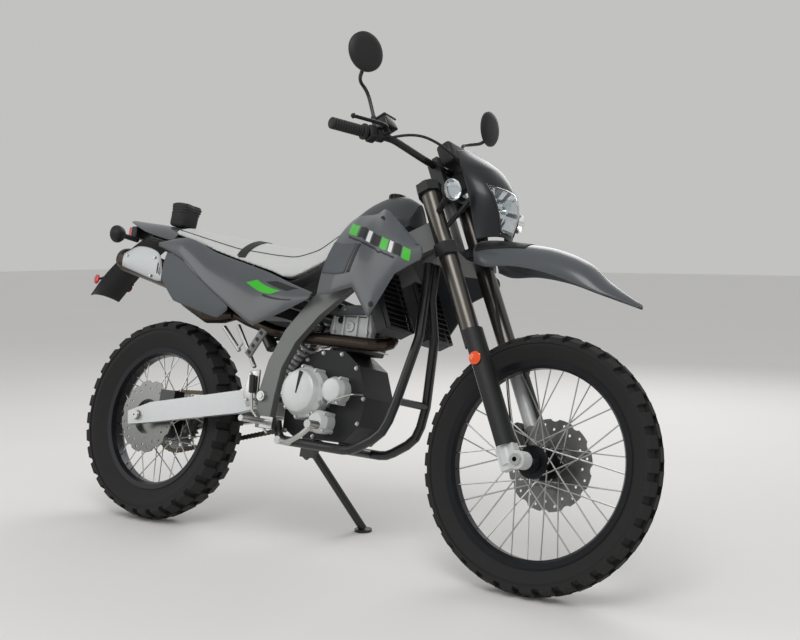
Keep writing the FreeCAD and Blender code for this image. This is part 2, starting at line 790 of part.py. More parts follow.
def lamp_face(top, low, grow):
    """An upright face across the lamp: wide at the top and narrow at the bottom."""
    rise = up_fork * grow
    return [
        steered(top[0], -72 - grow, top[1]) + rise,
        steered(top[0], 72 + grow, top[1]) + rise,
        steered(low[0], 58 + grow, low[1]) - rise,
        steered(low[0], -58 - grow, low[1]) - rise,
    ]


# Corners of the lamp from the steering axis: forward, along
lamp_back = [(149.5, 1180.7), (100.0, 1082.5)]
lamp_front = [(253.1, 1128.6), (203.7, 1030.4)]
lamp_beyond = [(288.8, 1110.6), (239.4, 1012.4)]
cut("headlight_cowl", cowl, shaped("lamp_opening", block_shape([
    lamp_face(*lamp_back, s.running_gap), lamp_face(*lamp_beyond, s.running_gap)])))
lamp_block = shaped("lamp_block", block_shape([lamp_face(*lamp_back, 0), lamp_face(*lamp_front, 0)]))
lamp_arms = []
band_holes = []
for hand in (-1, 1):
    band_foot = steered(s.leg_offset, hand * leg_side, 1050)
    band = cylinder("lamp_band", "Sizes.upper_tube_radius + 5", "18", band_foot, up_fork)
    lamp_arms.append(band)
    band_holes.append(cylinder("lamp_band_hole", "Sizes.upper_tube_radius + Sizes.running_gap", "80",
                               band_foot - up_fork * 20, up_fork))
    arm_root = steered(s.leg_offset + s.upper_tube_radius + 2, hand * leg_side, 1059)
    arm_tip = steered(129.7, hand * 58, 1123.5)
    arm_way = arm_tip - arm_root
    lamp_arms.append(cylinder("lamp_arm", 6, arm_way.Length, arm_root, arm_way))
cut("headlight", joined("solid_lamp", [lamp_block] + lamp_arms), joined("band_holes", band_holes))

gauge_box = box("gauge_box", 50, 120, 70)
gauge_box.Placement = steering.multiply(Placement(Vector(64, -60, 1264), Rotation()))
gauge_arm = box("gauge_arm", 60, 30, 82)
gauge_arm.Placement = steering.multiply(Placement(
    Vector(48 + s.running_gap, -15, s.top_clamp_foot + 8), Rotation()))
joined("gauge", [gauge_box, gauge_arm])

signal_way = Vector(0.786, -0.618, 0)
signal_lamp = steered(135, -185, 1108)
signal_root = steered(s.leg_offset, -leg_side, 1108) + \
    steering.Rotation.multVec(signal_way) * (s.upper_tube_radius + s.running_gap)
signal_arm = signal_lamp - signal_root
signal_stem = cylinder("signal_stem", "Sizes.signal_stem_radius", signal_arm.Length, signal_root, signal_arm)
signal_back = ALONG_X * (s.signal_depth / 2)
signal_head = cylinder("signal_head", "Sizes.signal_radius", "Sizes.signal_depth",
                       signal_lamp - signal_back, ALONG_X)
pair("front_signals", joined("right_signal", [signal_stem, signal_head]))

# Rows as for the cowl
fender_rows = [
    (82.3, 70, 935.8, 93.6, 1011.8),
    (116.2, 78, 905.3, 145.9, 988.9),
    (195.2, 80, 868.9, 229.4, 936.8),
    (276.5, 78, 810.1, 307.1, 882.1),
    (346.1, 72, 743.8, 375.8, 809.5),
    (405.9, 62, 689.1, 423.4, 728.4),
    (484.4, 36, 609.3, 492.5, 612.0),
]
fender_stations = across_stations(fender_rows)
shaped("front_fender", panel_shape(fender_stations, s.fender_thickness), steering)
behind = tuple(back + (back - ahead) * 0.3 for back, ahead in zip(fender_stations[0], fender_stations[1]))
fender_room = shaped("fender_room", panel_shape(
    [behind] + fender_stations, s.fender_thickness + s.running_gap, lift=40), steering)
trimmed_tongue = cut("trimmed_tongue", tongue, fender_room)
clamp_body = joined("solid_clamps", [top_plate, low_plate, stem, trimmed_tongue] + bar_mounts)
leg_holes = [
    cylinder("leg_hole", "Sizes.upper_tube_radius + Sizes.running_gap",
             "Sizes.top_clamp_foot + Sizes.top_clamp_height + 4 - Sizes.low_clamp_foot",
             steered(s.leg_offset, hand * leg_side, s.low_clamp_foot - 2), up_fork)
    for hand in (-1, 1)
]
bar_hole = cylinder("bar_hole", "Sizes.bar_radius + Sizes.running_gap", "160",
                    steered(s.bar_forward, -80, s.bar_height), ALONG_Y)
cut("fork_clamps", clamp_body, joined("clamp_holes", leg_holes + [bar_hole]))

# Front caliper and its hose, on the left leg
caliper_foot = axle_along + 52
caliper_height = 88
caliper_box = box("caliper_box", 64,
                  leg_side - s.lower_tube_radius - 0.5 - s.running_gap - (s.front_disc_side - 22), caliper_height)
caliper_box.Placement = steering.multiply(Placement(
    Vector(-50, s.front_disc_side - 22, caliper_foot), Rotation()))
disc_slot = cylinder("front_disc_slot", "Sizes.front_disc_radius + 5", "Sizes.disc_thickness + 10",
                     front_axle + Vector(0, s.front_disc_side - s.disc_thickness / 2 - 5, 0), ALONG_Y)
cut("front_caliper", caliper_box, disc_slot)

hose_points = [
    (20, -232, 1325), (74, -190, 1330), (118, -120, 1290), (132, -30, 1225), (112, 46, 1145),
    (84, 62, 1060), (62, 57, 965), (52, 60, 868), (36, 64, 768), (22, 64, 668), (2, 60, 580),
    (-18, 68, caliper_foot + caliper_height + 0.27 * s.hose_radius + s.running_gap),
]
hosed("brake_hose", [steered(*point) for point in hose_points], "Sizes.hose_radius")

# Frame: head tube, twin spars and pivot plates in one weldment
head_foot = s.low_clamp_foot + s.low_clamp_height + s.head_gap
head_tube = cylinder("head_tube", "Sizes.head_radius", f"Sizes.top_clamp_foot - Sizes.head_gap - {head_foot}",
                     steered(0, 0, head_foot), up_fork)
head_bore = cylinder("head_bore", "Sizes.stem_radius + Sizes.running_gap",
                     f"Sizes.top_clamp_foot - Sizes.head_gap - {head_foot} + 2",
                     steered(0, 0, head_foot - 1), up_fork)


def bar_section(centre, next_centre, height, width):
    """A rectangle square to the way a beam runs, seen from the side."""
    way = next_centre - centre
    up = Vector(-way.z, 0, way.x)
    up.normalize()
    half = up * (height / 2)
    across = Vector(0, width / 2, 0)
    return [centre + half - across, centre + half + across, centre - half + across, centre - half - across]


def beam_shape(rows, width):
    """A beam of steady width through (x, y, z, height) stations."""
    centres = [Vector(x, y, z) for x, y, z, height in rows]
    stations = []
    for index, (x, y, z, height) in enumerate(rows):
        before = centres[max(index - 1, 0)]
        after = centres[min(index + 1, len(rows) - 1)]
        stations.append(bar_section(centres[index], centres[index] + after - before, height, width))
    return block_shape(stations)


# Head end of the spar, from the steering axis: forward, across, along, height
spar_head = [
    (-19.3, -28, 1089.9, 84),
    (-103.0, -56, 1081.6, 82),
    (-186.2, -98, 1069.7, 78),
    (-296.3, -s.spar_half_spacing, 1051.2, 70),
]
# Foot end, from the swingarm pivot: forward, up, height
spar_foot = [(74, 188, 58), (30, 100, 58), (14, 10, 64), (14, -95, 52)]
spar_rows = [(*steered(*place), height) for *place, height in spar_head]
elbow_x, elbow_y, elbow_z, elbow_height = spar_rows[-1]
knee_x = swing_pivot.x + spar_foot[0][0]
knee_z = swing_pivot.z + spar_foot[0][1]
spar_rows.append((knee_x + 0.43 * (elbow_x - knee_x), elbow_y, knee_z + 0.506 * (elbow_z - knee_z), 62))
spar_rows += [
    (swing_pivot.x + forward, -s.spar_half_spacing, swing_pivot.z + up, height)
    for forward, up, height in spar_foot
]
right_spar = shaped("right_spar", beam_shape(spar_rows, s.spar_width))
left_spar = mirrored("left_spar", right_spar)
pivot_tube = cylinder("pivot_tube", "Sizes.pivot_tube_radius", "2 * (Sizes.spar_half_spacing + 4)",
                      swing_pivot - Vector(0, s.spar_half_spacing + 4, 0), ALONG_Y)
shock_top = swing_pivot + Vector(88, 0, 232)
cross_tube = cylinder("cross_tube", "Sizes.cross_tube_radius", "2 * Sizes.spar_half_spacing",
                      shock_top - Vector(0, s.spar_half_spacing, 0), ALONG_Y)
neck_low = steered(-79.9, 0, 1025.2)
neck_side = 33
neck_block = shaped("neck_block", block_shape([
    [steered(-13.2, y, 1053.2), steered(-25.9, y, 1139.1), steered(-84.2, y, 1083.4),
     neck_low + Vector(-19, y, 0), neck_low + Vector(19, y, 0)]
    for y in (-neck_side, neck_side)]))
frame_solid = joined("solid_frame", [head_tube, neck_block, right_spar, left_spar, pivot_tube, cross_tube])
cut("frame_main", frame_solid, head_bore)

spar_inner = s.spar_half_spacing - s.spar_width / 2
cradle_side = spar_inner - s.cradle_radius - s.running_gap
cradle_top = neck_low - ALONG_Z * s.running_gap
right_cradle = bent("right_cradle", [
    swing_pivot + Vector(38, -cradle_side, -68),
    swing_pivot + Vector(54, -cradle_side, -122),
    swing_pivot + Vector(328, -cradle_side, -128),
    Vector(cradle_top.x - 30, -cradle_side + 4, swing_pivot.z - 68),
    Vector(cradle_top.x - 7, -76, swing_pivot.z + 30),
    cradle_top + Vector(15, -40, -220),
    cradle_top + Vector(0, -18, -100),
    cradle_top + Vector(0, -18, 0),
], "Sizes.cradle_radius", 90)
left_cradle = mirrored("left_cradle", right_cradle)
low_cross = cylinder("low_cross", "12", f"{2 * cradle_side}", swing_pivot + Vector(88, -cradle_side, -123), ALONG_Y)
case_floor = s.pivot_height - 106
mount_cross = cylinder("mount_cross", "11", f"{2 * cradle_side}", swing_pivot + Vector(268, -cradle_side, -127), ALONG_Y)
engine_mount = box("engine_mount", 40, 60, 18)
engine_mount.Placement = Placement(
    Vector(s.pivot_forward + 243, -40, case_floor - s.running_gap - 18), Rotation())
front_cross = cylinder("front_cross", "11", "152",
                       Vector(cradle_top.x - 7, -76, swing_pivot.z + 30), ALONG_Y)
stand_pivot = swing_pivot + Vector(14, 124, -140)
stand_axis = Vector(0.185, 0.747, 0.638)
stand_axis.normalize()
knuckle_half = 14
stand_block = box("stand_block", 54, 18, 74)
stand_block.Placement = Placement(stand_pivot + Vector(-16, cradle_side - 7 - stand_pivot.y, -24), Rotation())
stand_boss = cylinder("stand_boss", "14", "20",
                      stand_pivot - stand_axis * (knuckle_half + s.running_gap + 20), stand_axis)
stand_pin = cylinder("stand_pin", "Sizes.stand_pin_radius", f"{2 * knuckle_half + 6}",
                     stand_pivot - stand_axis * (knuckle_half + 5), stand_axis)
stand_cap = cylinder("stand_cap", "11", "5",
                     stand_pivot + stand_axis * (knuckle_half + s.running_gap), stand_axis)
cradle_tubes = joined("cradle_tubes", [right_cradle, left_cradle, low_cross, mount_cross, engine_mount,
                                       front_cross])
stand_post = joined("stand_post", [stand_boss, stand_pin, stand_cap])
stand_post.Refine = True
welded = document.addObject("Part::Fuse", "frame_cradle")
welded.Base = joined("solid_cradle", [cradle_tubes, stand_block])
welded.Tool = stand_post

rail = bent("right_rail", [
    Vector(690, -88, 742),
    Vector(420, -88, 806),
    Vector(60, -78, 912),
    Vector(-138, -48, 950),
], "Sizes.seat_rail_radius", 200)
stay = bent("right_stay", [
    Vector(684, -92, 706),
    Vector(330, -110, 774),
    Vector(120, -84, 890),
], "Sizes.seat_rail_radius - 3", 200)
rail_cross = cylinder("rail_cross", "10", "176", Vector(430, -88, 808.1), ALONG_Y)
tail_cross = cylinder("tail_cross", "9", "120", Vector(-70, -60, 936), ALONG_Y)
rail_foot = box("rail_foot", 30, 24, 58)
rail_foot.Placement = Placement(Vector(668, -spar_inner + s.running_gap, 692), Rotation())
seat_post = box("seat_post", 8, 24, 40)
seat_post.Placement = Placement(Vector(396, -100, 850.5 - s.running_gap - 40), Rotation())
panel_lug = box("panel_lug", 24, 20, 24)
panel_lug_side = 124
panel_lug_at = Vector(330, 0, 774)
panel_lug.Placement = Placement(panel_lug_at + Vector(-12, -panel_lug_side, -12), Rotation())
right_rear = joined("right_rear_frame", [rail, stay, rail_foot, seat_post, panel_lug])
tail_plate = box("tail_plate", 84, 36, 44)
tail_plate.Placement = Placement(Vector(-150 + s.running_gap, -18, 942), Rotation())
joined("subframe", [right_rear, mirrored("left_rear_frame", right_rear), rail_cross, tail_cross, tail_plate])

# Swingarm and its parts
axle_height = rear_axle.z
arm_y = s.arm_side
arm_plate = s.arm_width - 6
pivot_side = spar_inner - s.running_gap - arm_plate / 2
arm_rows = [
    (s.pivot_forward + 20, -pivot_side, s.pivot_height + 3, 48),
    (500, -pivot_side, 431, 58),
    (430, -pivot_side - 3, 416, 70),
    (60, -arm_y, 350, 66),
    (-40, -arm_y, axle_height - 12, 44),
]
right_arm = shaped("right_arm", beam_shape(arm_rows, arm_plate))
arm_cross = box("arm_cross", 60, 2 * (arm_y - 12), 56)
arm_cross.Placement = Placement(Vector(430, -arm_y + 12, 392), Rotation())
arm_body = joined("solid_arms", [right_arm, mirrored("left_arm", right_arm), arm_cross])
pivot_hole = cylinder("pivot_hole", "Sizes.pivot_tube_radius + Sizes.running_gap", "300", swing_pivot - Vector(0, 150, 0), ALONG_Y)
axle_hole = cylinder("rear_axle_hole", "Sizes.rear_axle_radius + Sizes.running_gap", "300",
                     rear_axle - Vector(0, 150, 0), ALONG_Y)
cut("swingarm", arm_body, joined("arm_holes", [pivot_hole, axle_hole]))

shock_foot = Vector(462, 0, 392 + 56 + 15 + s.running_gap)
shock_way = shock_top - shock_foot
spring = cylinder("shock_spring", "Sizes.spring_radius", 150, shock_foot + shock_way * 0.2, shock_way)
rod = cylinder("shock_rod", 14, shock_way.Length, shock_foot, shock_way)
shock_eye = cylinder("shock_eye", "21", "34", shock_top - Vector(0, 17, 0), ALONG_Y)
foot_eye = cylinder("shock_foot_eye", "15", "34", shock_foot - Vector(0, 17, 0), ALONG_Y)
eye_hole = cylinder("shock_eye_hole", "Sizes.cross_tube_radius + Sizes.running_gap", "60", shock_top - Vector(0, 30, 0), ALONG_Y)
cut("rear_shock", joined("solid_shock", [spring, rod, shock_eye, foot_eye]), eye_hole)

# Engine, set out from the swingarm pivot
case_corners = [
    (54, -84), (98, -106), (288, -106), (340, -56), (348, 30), (310, 120), (248, 160),
    (164, 160), (103, 135), (54, 80),
]


def from_pivot(corners):
    return [(s.pivot_forward + forward, s.pivot_height + up) for forward, up in corners]


def side_plate(name, corners, low_y, high_y):
    """A plate with an outline seen from the side, between two distances across."""
    body = padded(name, "XZ_Plane", corners, high_y - low_y, Placement(Vector(0, low_y, 0), Rotation()), False)
    body.Group[-1].Reversed = True
    return body


case_right = -80
case_left = 62
side_plate("engine_case", from_pivot(case_corners), case_right, case_left)


def turned_cover(name, rows, forward, up, foot, hand, bolts):
    """A cast cover turned from its section, with bolt bosses round its foot."""
    place = Placement(Vector(s.pivot_forward + forward, foot, s.pivot_height + up), Rotation())
    dome = revolved(name + "_dome", [(f"{radius}", f"{hand * across}") for radius, across in rows], place)
    rim = rows[1][0]
    lug_height = rows[2][1] + 4
    lugs = []
    for index in range(bolts):
        angle = 2 * math.pi * (index + 0.5) / bolts
        corner = place.multVec(Vector(rim * math.cos(angle), 0, rim * math.sin(angle)))
        lugs.append(prism(name + "_lug", "Sizes.cover_lug_radius", f"{lug_height}", corner, ALONG_Y * hand))
    return joined(name, [dome] + lugs)


# Sections of the covers: radius, depth from the case
clutch_rows = [(0, 0), (76, 0), (76, 34), (68, 46), (62, 62), (22, 62), (18, 57), (0, 57)]
filter_rows = [(0, 0), (40, 0), (40, 30), (33, 46), (0, 46)]
pump_rows = [(0, 0), (34, 0), (34, 36), (24, 54), (0, 54)]
generator_rows = [(0, 0), (70, 0), (70, 26), (60, 44), (30, 50), (0, 50)]
right_face = case_right - s.running_gap
clutch = turned_cover("clutch_cover", clutch_rows, 144, 26, right_face, -1, 9)
filter_cover = turned_cover("filter_cover", filter_rows, 254, 40, right_face, -1, 3)
pump_cover = turned_cover("pump_cover", pump_rows, 218, -56, right_face, -1, 4)
generator = turned_cover("generator_cover", generator_rows, 218, 10, case_left + s.running_gap, 1, 8)
joined("engine_covers", [joined("right_covers", [clutch, filter_cover, pump_cover]), generator])

# Barrel, head and cam cover: corners from the pivot, half width
barrel_steps = []
for name, corners, half_width in (
    ("barrel", [(178, 160 + s.running_gap), (294, 160 + s.running_gap), (308, 200), (172, 200)], 52),
    ("head", [(172, 196), (316, 190), (316, 244), (164, 236)], 60),
    ("cam_cover", [(172, 234), (306, 240), (286, 286), (183, 286)], 50),
):
    barrel_steps.append(side_plate(name, from_pivot(corners), -half_width, half_width))
joined("cylinder", barrel_steps)

pipe_end = Vector(352, -90, 694)
pipe_bend = Vector(410, -90, 674)
bent("exhaust_pipe", [
    Vector(s.pivot_forward + 316 + s.running_gap, -20, 655), Vector(922, -20, 655), Vector(944, -50, 634), Vector(916, -82, 622),
    Vector(800, -83, 628), Vector(640, -84, 632), Vector(520, -84, 646), pipe_bend, pipe_end,
], "Sizes.header_radius", 60)


def ring_at(centre, radius, direction, sides=20):
    """A many-sided ring square to a direction that runs mostly along the machine."""
    across = ALONG_Y
    up = direction.cross(across)
    up.normalize()
    return closed_wire([
        centre + across * (radius * math.cos(angle)) + up * (radius * math.sin(angle))
        for angle in (2 * math.pi * index / sides for index in range(sides))
    ])


# Rows: forward, across, up, radius
silencer_rows = [
    (300, -88, 697, 36),
    (234, -86, 700, 43),
    (133, -87, 746, 44),
    (39, -90, 806, 44),
    (-76, -94, 836, 44),
    (-196, -98, 862, 41),
    (-213, -99, 866, 36),
]
silencer_centres = [Vector(x, y, z) for x, y, z, radius in silencer_rows]
pipe_way = pipe_end - pipe_bend
pipe_way.normalize()
silencer_rings = [ring_at(pipe_end + pipe_way * s.running_gap, s.header_radius + 5, pipe_way)]
for index, (x, y, z, radius) in enumerate(silencer_rows):
    before = silencer_centres[max(index - 1, 0)]
    after = silencer_centres[min(index + 1, len(silencer_rows) - 1)]
    silencer_rings.append(ring_at(Vector(x, y, z), radius, after - before))
shaped("silencer", Part.makeLoft(silencer_rings, True, True))


def side_stations(rows):
    """Stations on the right side: low edge, middle and top edge."""
    return [(Vector(*low), Vector(*middle), Vector(*top)) for low, middle, top in rows]


shield_rows = [
    ((-172, -154, 832), (-172, -157, 854), (-172, -154, 877)),
    ((-100, -153, 812), (-100, -157, 858), (-100, -153, 902)),
    ((-3, -153, 786), (-3, -157, 834), (-3, -153, 880)),
    ((31, -153, 783), (31, -155, 797), (31, -153, 812)),
]
shield_shift = Placement(Vector(0, 15.6, 0), Rotation())
shaped("heat_shield", panel_shape(side_stations(shield_rows), 2, 4), shield_shift)

# Radiators behind the legs' sweep: forward and along from the steering axis
radiator_corners = []
for forward, along in ((-224.3, 838.2), (-188.5, 838.1), (-188.5, 1025.0), (-224.4, 1025.0)):
    corner = steered(forward, 0, along)
    radiator_corners.append((corner.x, corner.z))
pair("radiators", side_plate("right_radiator", radiator_corners, -165, -44))

airbox_corners = [(170, 800), (300, 700), (470, 700), (470, 786), (180, 868)]
side_plate("airbox", airbox_corners, -30, 69)

# Tank, seat and bodywork
tank_rows = [
    (745, 868, 985, 1032, 86, 70),
    (800, 884, 1000, 1068, 96, 90),
    (855, 912, 1008, 1088, 98, 92),
    (903, 956, 1012, 1084, 84, 80),
    (945, 988, 1016, 1062, 44, 40),
]
tank_shell = shaped("tank_shell", arched_shape(tank_rows))
fuel_cap = cylinder("fuel_cap", "Sizes.cap_radius", "20", Vector(854, 0, 1076), ALONG_Z)
joined("fuel_tank", [tank_shell, fuel_cap])
seat_rows = [
    (10, 957, 975, 996, 84, 76),
    (160, 914, 940, 966, 106, 94),
    (316, 872, 905, 947, 112, 94),
    (480, 832, 885, 926, 112, 92),
    (560, 812, 880, 929, 108, 86),
    (640, 846, 905, 975, 98, 72),
    (700, 882, 950, 1018, 88, 62),
    (744.7, 915, 985, 1036, 80, 54),
]
shaped("seat", arched_shape(seat_rows))

shroud_rows = [
    ((728, -160, 750), (745, -150, 880), (768, -88, 996)),
    ((800, -182, 754), (812, -172, 890), (800, -96, 1004)),
    ((885, -196, 770), (890, -190, 900), (862, -98, 1012)),
    ((962, -204, 684), (965, -204, 850), (945, -166, 1004)),
    ((1035, -208, 808), (1040, -210, 880), (1010, -186, 962)),
    ((1118, -212, 850), (1122, -213, 862), (1104, -210, 892)),
]


def boss_behind(name, radius, point, skin, end_side):
    """A boss that runs in from the middle of a right-hand skin to a seat at a distance across."""
    ray = Part.LineSegment(point - ALONG_Y * s.bar_half_width, point).toShape().common(skin.Shape)
    skin_side = sum(vertex.Point.y for vertex in ray.Vertexes) / len(ray.Vertexes)
    foot = Vector(point.x, skin_side, point.z)
    return cylinder(name, f"{radius}", f"{-end_side - s.running_gap - skin_side}", foot, ALONG_Y)


shroud_skin = shaped("shroud_skin", panel_shape(side_stations(shroud_rows), s.shroud_thickness, 4))
shroud_boss = boss_behind("shroud_boss", 9, Vector(772, 0, 776), shroud_skin,
                          s.spar_half_spacing + s.spar_width / 2)
pair("shrouds", joined("right_shroud", [shroud_skin, shroud_boss]))

side_rows = [
    ((-30, -116, 905), (-30, -119, 913), (-30, -116, 921)),
    ((110, -140, 862), (110, -142, 900), (110, -118, 935)),
    ((250, -154, 778), (250, -150, 830), (250, -116, 886)),
    ((390, -158, 698), (390, -154, 775), (390, -117, 850)),
    ((490, -160, 650), (490, -156, 740), (490, -117, 824)),
    ((600, -160, 694), (600, -158, 750), (600, -134, 789)),
    ((700, -158, 740), (700, -156, 750), (700, -146, 760)),
]
side_skin = shaped("side_skin", panel_shape(side_stations(side_rows), s.panel_thickness, 4))
side_boss = boss_behind("side_boss", 8, panel_lug_at, side_skin, panel_lug_side)
lower_rows = [
    ((32, -139, 790), (32, -140, 838), (32, -131, 884.9)),
    ((105, -138, 720), (105, -142, 790), (105, -139, 862.4)),
    ((200, -146, 697), (200, -151, 750), (200, -149, 806.8)),
    ((327, -152, 668), (327, -157, 700), (327, -156, 732.8)),
    ((372, -155, 694), (372, -158, 701), (372, -157, 707)),
]
lower_skin = shaped("lower_skin", panel_shape(side_stations(lower_rows), s.panel_thickness, 4))
right_panels = grouped("right_panels", [joined("right_side_panel", [side_skin, side_boss]), lower_skin])
pair("side_panels", right_panels)

tail_rows = [
    (9.7, 92, 936, 9.7, 989),
    (-30, 92, 940, -30, 994),
    (-124, 86, 962, -124, 1007),
    (-205, 66, 988, -205, 1016),
    (-284, 34, 1016, -288, 1026),
]
tail_stations = across_stations(tail_rows)
shaped("tail_fender", panel_shape(tail_stations, s.fender_thickness))
mudguard_rows = [
    (-150, 60, 962, -150, 984),
    (-240, 66, 900, -262, 918),
    (-330, 70, 820, -352, 838),
    (-400, 66, 740, -420, 752),
]
mudguard_stations = across_stations(mudguard_rows)
shaped("mudguard", panel_shape(mudguard_stations, s.fender_thickness))
lamp = box("lamp_case", 50, 84, 40)
lamp.Placement = Placement(Vector(-290, -42, 958), Rotation())

long_neck = cylinder("long_neck", 12, 40, Vector(-262, 0, 994.5), ALONG_Z)
tail_room = shaped("tail_room", panel_shape(tail_stations, s.fender_thickness + s.running_gap, lift=40))
tail_lamp = joined("tail_lamp", [lamp, cut("lamp_neck", long_neck, tail_room)])

rear_lamp = Vector(-208, -150, 942)
long_stem = cylinder("long_signal_stem", "Sizes.signal_stem_radius", 120, rear_lamp + Vector(0, 12, 0), ALONG_Y)
guard_room = shaped("guard_room", under_panel(mudguard_stations, -s.running_gap))
rear_stem = cut("rear_signal_stem", long_stem, guard_room)
rear_head = cylinder("rear_signal_head", "Sizes.signal_radius", "Sizes.signal_depth",
                     rear_lamp - signal_back, ALONG_X)
rear_signal = joined("right_rear_signal", [rear_stem, rear_head])
grouped("rear_lamps", [tail_lamp, rear_signal, mirrored("left_rear_signal", rear_signal)])

shaped("tail_pouch", arched_shape([
    (-96, 1003.6, 1050, 1080, 40, 34), (-60, 998.7, 1055, 1087, 44, 36), (-12, 992.4, 1040, 1070, 44, 34)]))

# Pegs, pedals and stand
peg = cylinder("peg_bar", "Sizes.peg_radius", "115", Vector(597, -145, 364), Vector(0, -1, 0))
peg_bracket = box("peg_bracket", 50, 18, 34)
peg_bracket.Placement = Placement(
    Vector(572, -s.spar_half_spacing - s.spar_width / 2 - s.running_gap - 18, 346), Rotation())
right_peg = joined("right_peg", [peg, peg_bracket])

pedal_pivot = Vector(660, -cradle_side - s.cradle_radius - s.running_gap, 316)
pedal = bent("pedal_arm", [
    pedal_pivot + Vector(0, -44, 0), Vector(706, -164, 313), Vector(762, -178, 338), Vector(800, -180, 370),
], "8", 60)
pedal_tip = cylinder("pedal_tip", "12", "44", Vector(800, -158, 372), Vector(0, -1, 0))
pedal_root = cylinder("pedal_root", "12", "54", pedal_pivot, Vector(0, -1, 0))
brake_pedal = joined("brake_pedal", [pedal, pedal_tip, pedal_root])
grouped("foot_controls", [right_peg, mirrored("left_peg", right_peg), brake_pedal])

rear_caliper_box = box("rear_caliper_box", 66, 44, 56)
rear_caliper_box.Placement = Placement(
    Vector(70, -arm_y + arm_plate / 2 + 2.2, 374), Rotation())
rear_slot = cylinder("rear_disc_slot", "Sizes.rear_disc_radius + 5", "Sizes.disc_thickness + 10",
                     rear_axle - Vector(0, s.rear_disc_side - s.disc_thickness / 2 - 5 + 14, 0), ALONG_Y)
cut("rear_caliper", rear_caliper_box, rear_slot)

# Final drive: one loop of chain over both sprockets
small_radius = pitch_radius(s.front_sprocket_teeth)
large_radius = pitch_radius(s.rear_sprocket_teeth)
small_centre = swing_pivot + Vector(88, 0, -8)
chain_way = small_centre - rear_axle
chain_slope = math.atan2(chain_way.z, chain_way.x)
chain_wrap = math.acos((large_radius - small_radius) / chain_way.Length)
chain_run = chain_way.Length * math.sin(chain_wrap)
nose_run = 2 * chain_wrap * small_radius
loop_length = 2 * chain_run + nose_run + 2 * (math.pi - chain_wrap) * large_radius


def chain_station(distance):
    """A point of the chain's pitch line, the way outward there, and whether the run is straight."""

    def outward(angle):
        return Vector(math.cos(chain_slope + angle), 0, math.sin(chain_slope + angle))

    if distance < chain_run:
        way = outward(chain_wrap)
        share = distance / chain_run
        return rear_axle * (1 - share) + small_centre * share + \
            way * (large_radius * (1 - share) + small_radius * share), way, True
    distance -= chain_run
    if distance < nose_run:
        way = outward(chain_wrap - distance / small_radius)
        return small_centre + way * small_radius, way, False
    distance -= nose_run
    if distance < chain_run:
        way = outward(-chain_wrap)
        share = distance / chain_run
        return small_centre * (1 - share) + rear_axle * share + \
            way * (small_radius * (1 - share) + large_radius * share), way, True
    distance -= chain_run
    way = outward(-chain_wrap - distance / large_radius)
    return rear_axle + way * large_radius, way, False


link_count = 2 * round(loop_length / s.chain_pitch / 2)
outer_edge = []
inner_edge = []
rollers = []
slot_half = s.sprocket_thickness / 2 + 0.5
plate_half = s.chain_width / 2
for index in range(2 * link_count):
    point, way, straight = chain_station(loop_length * (index + 0.5) / (2 * link_count))
    half_height = s.chain_height / 2 - (s.chain_waist if index % 2 else 0)
    outer_edge.append(point + way * half_height)
    inner_edge.append(point - way * half_height)
    clear = min((point - centre).Length - radius for centre, radius in (
        (rear_axle, large_radius + s.tooth_rise + 4), (small_centre, small_radius + s.tooth_rise)))
    if straight and index % 2 == 0 and clear > s.roller_radius:
        foot = point + ALONG_Y * (s.chain_side - slot_half - 1)
        ring = Part.Wire(Part.makePolygon([
            foot + Vector(s.roller_radius * math.cos(turn), 0, s.roller_radius * math.sin(turn))
            for turn in (math.radians(60 * corner) for corner in range(7))
        ]))
        rollers.append(Part.Face(ring).extrude(ALONG_Y * (2 * slot_half + 2)))
link_face = Part.Face(closed_wire(outer_edge)).cut(Part.Face(closed_wire(inner_edge)))
plates = []
for foot in (s.chain_side - plate_half, s.chain_side + slot_half):
    plate = link_face.extrude(ALONG_Y * (plate_half - slot_half))
    plate.translate(ALONG_Y * foot)
    plates.append(plate)
loop = shaped("chain_loop", plates[0].fuse([plates[1]] + rollers))
counter_teeth = tooth_ring("counter_teeth", s.front_sprocket_teeth, 0, s.chain_side)
counter_teeth.Placement = Placement(small_centre, Rotation())
counter_shaft = cylinder("counter_shaft", "12", f"{s.chain_side - case_left - s.running_gap}",
                         small_centre + Vector(0, case_left + s.running_gap, 0), ALONG_Y)
grouped("drive_chain", [loop, joined("front_sprocket", [counter_teeth, counter_shaft])])

# Side stand, on the left
foot_reach = Vector(124, 161, 0)
stand_foot = stand_pivot + foot_reach
stand_foot.z = stand_foot.y * math.tan(lean)
floor_up = Vector(0, -math.sin(lean), math.cos(lean))
leg_way = stand_foot + floor_up * 8 - stand_pivot
stand_leg = cylinder("stand_leg", "Sizes.stand_radius", leg_way.Length, stand_pivot, leg_way)
stand_pad = cylinder("stand_pad", "28", "8", stand_foot, floor_up)
stand_knuckle = cylinder("stand_knuckle", "17", f"{2 * knuckle_half}",
                         stand_pivot - stand_axis * knuckle_half, stand_axis)
stand_hole = cylinder("stand_hole", "Sizes.stand_pin_radius + Sizes.running_gap", "60", stand_pivot - stand_axis * 30, stand_axis)
cut("side_stand", joined("solid_stand", [stand_leg, stand_pad, stand_knuckle]), stand_hole)

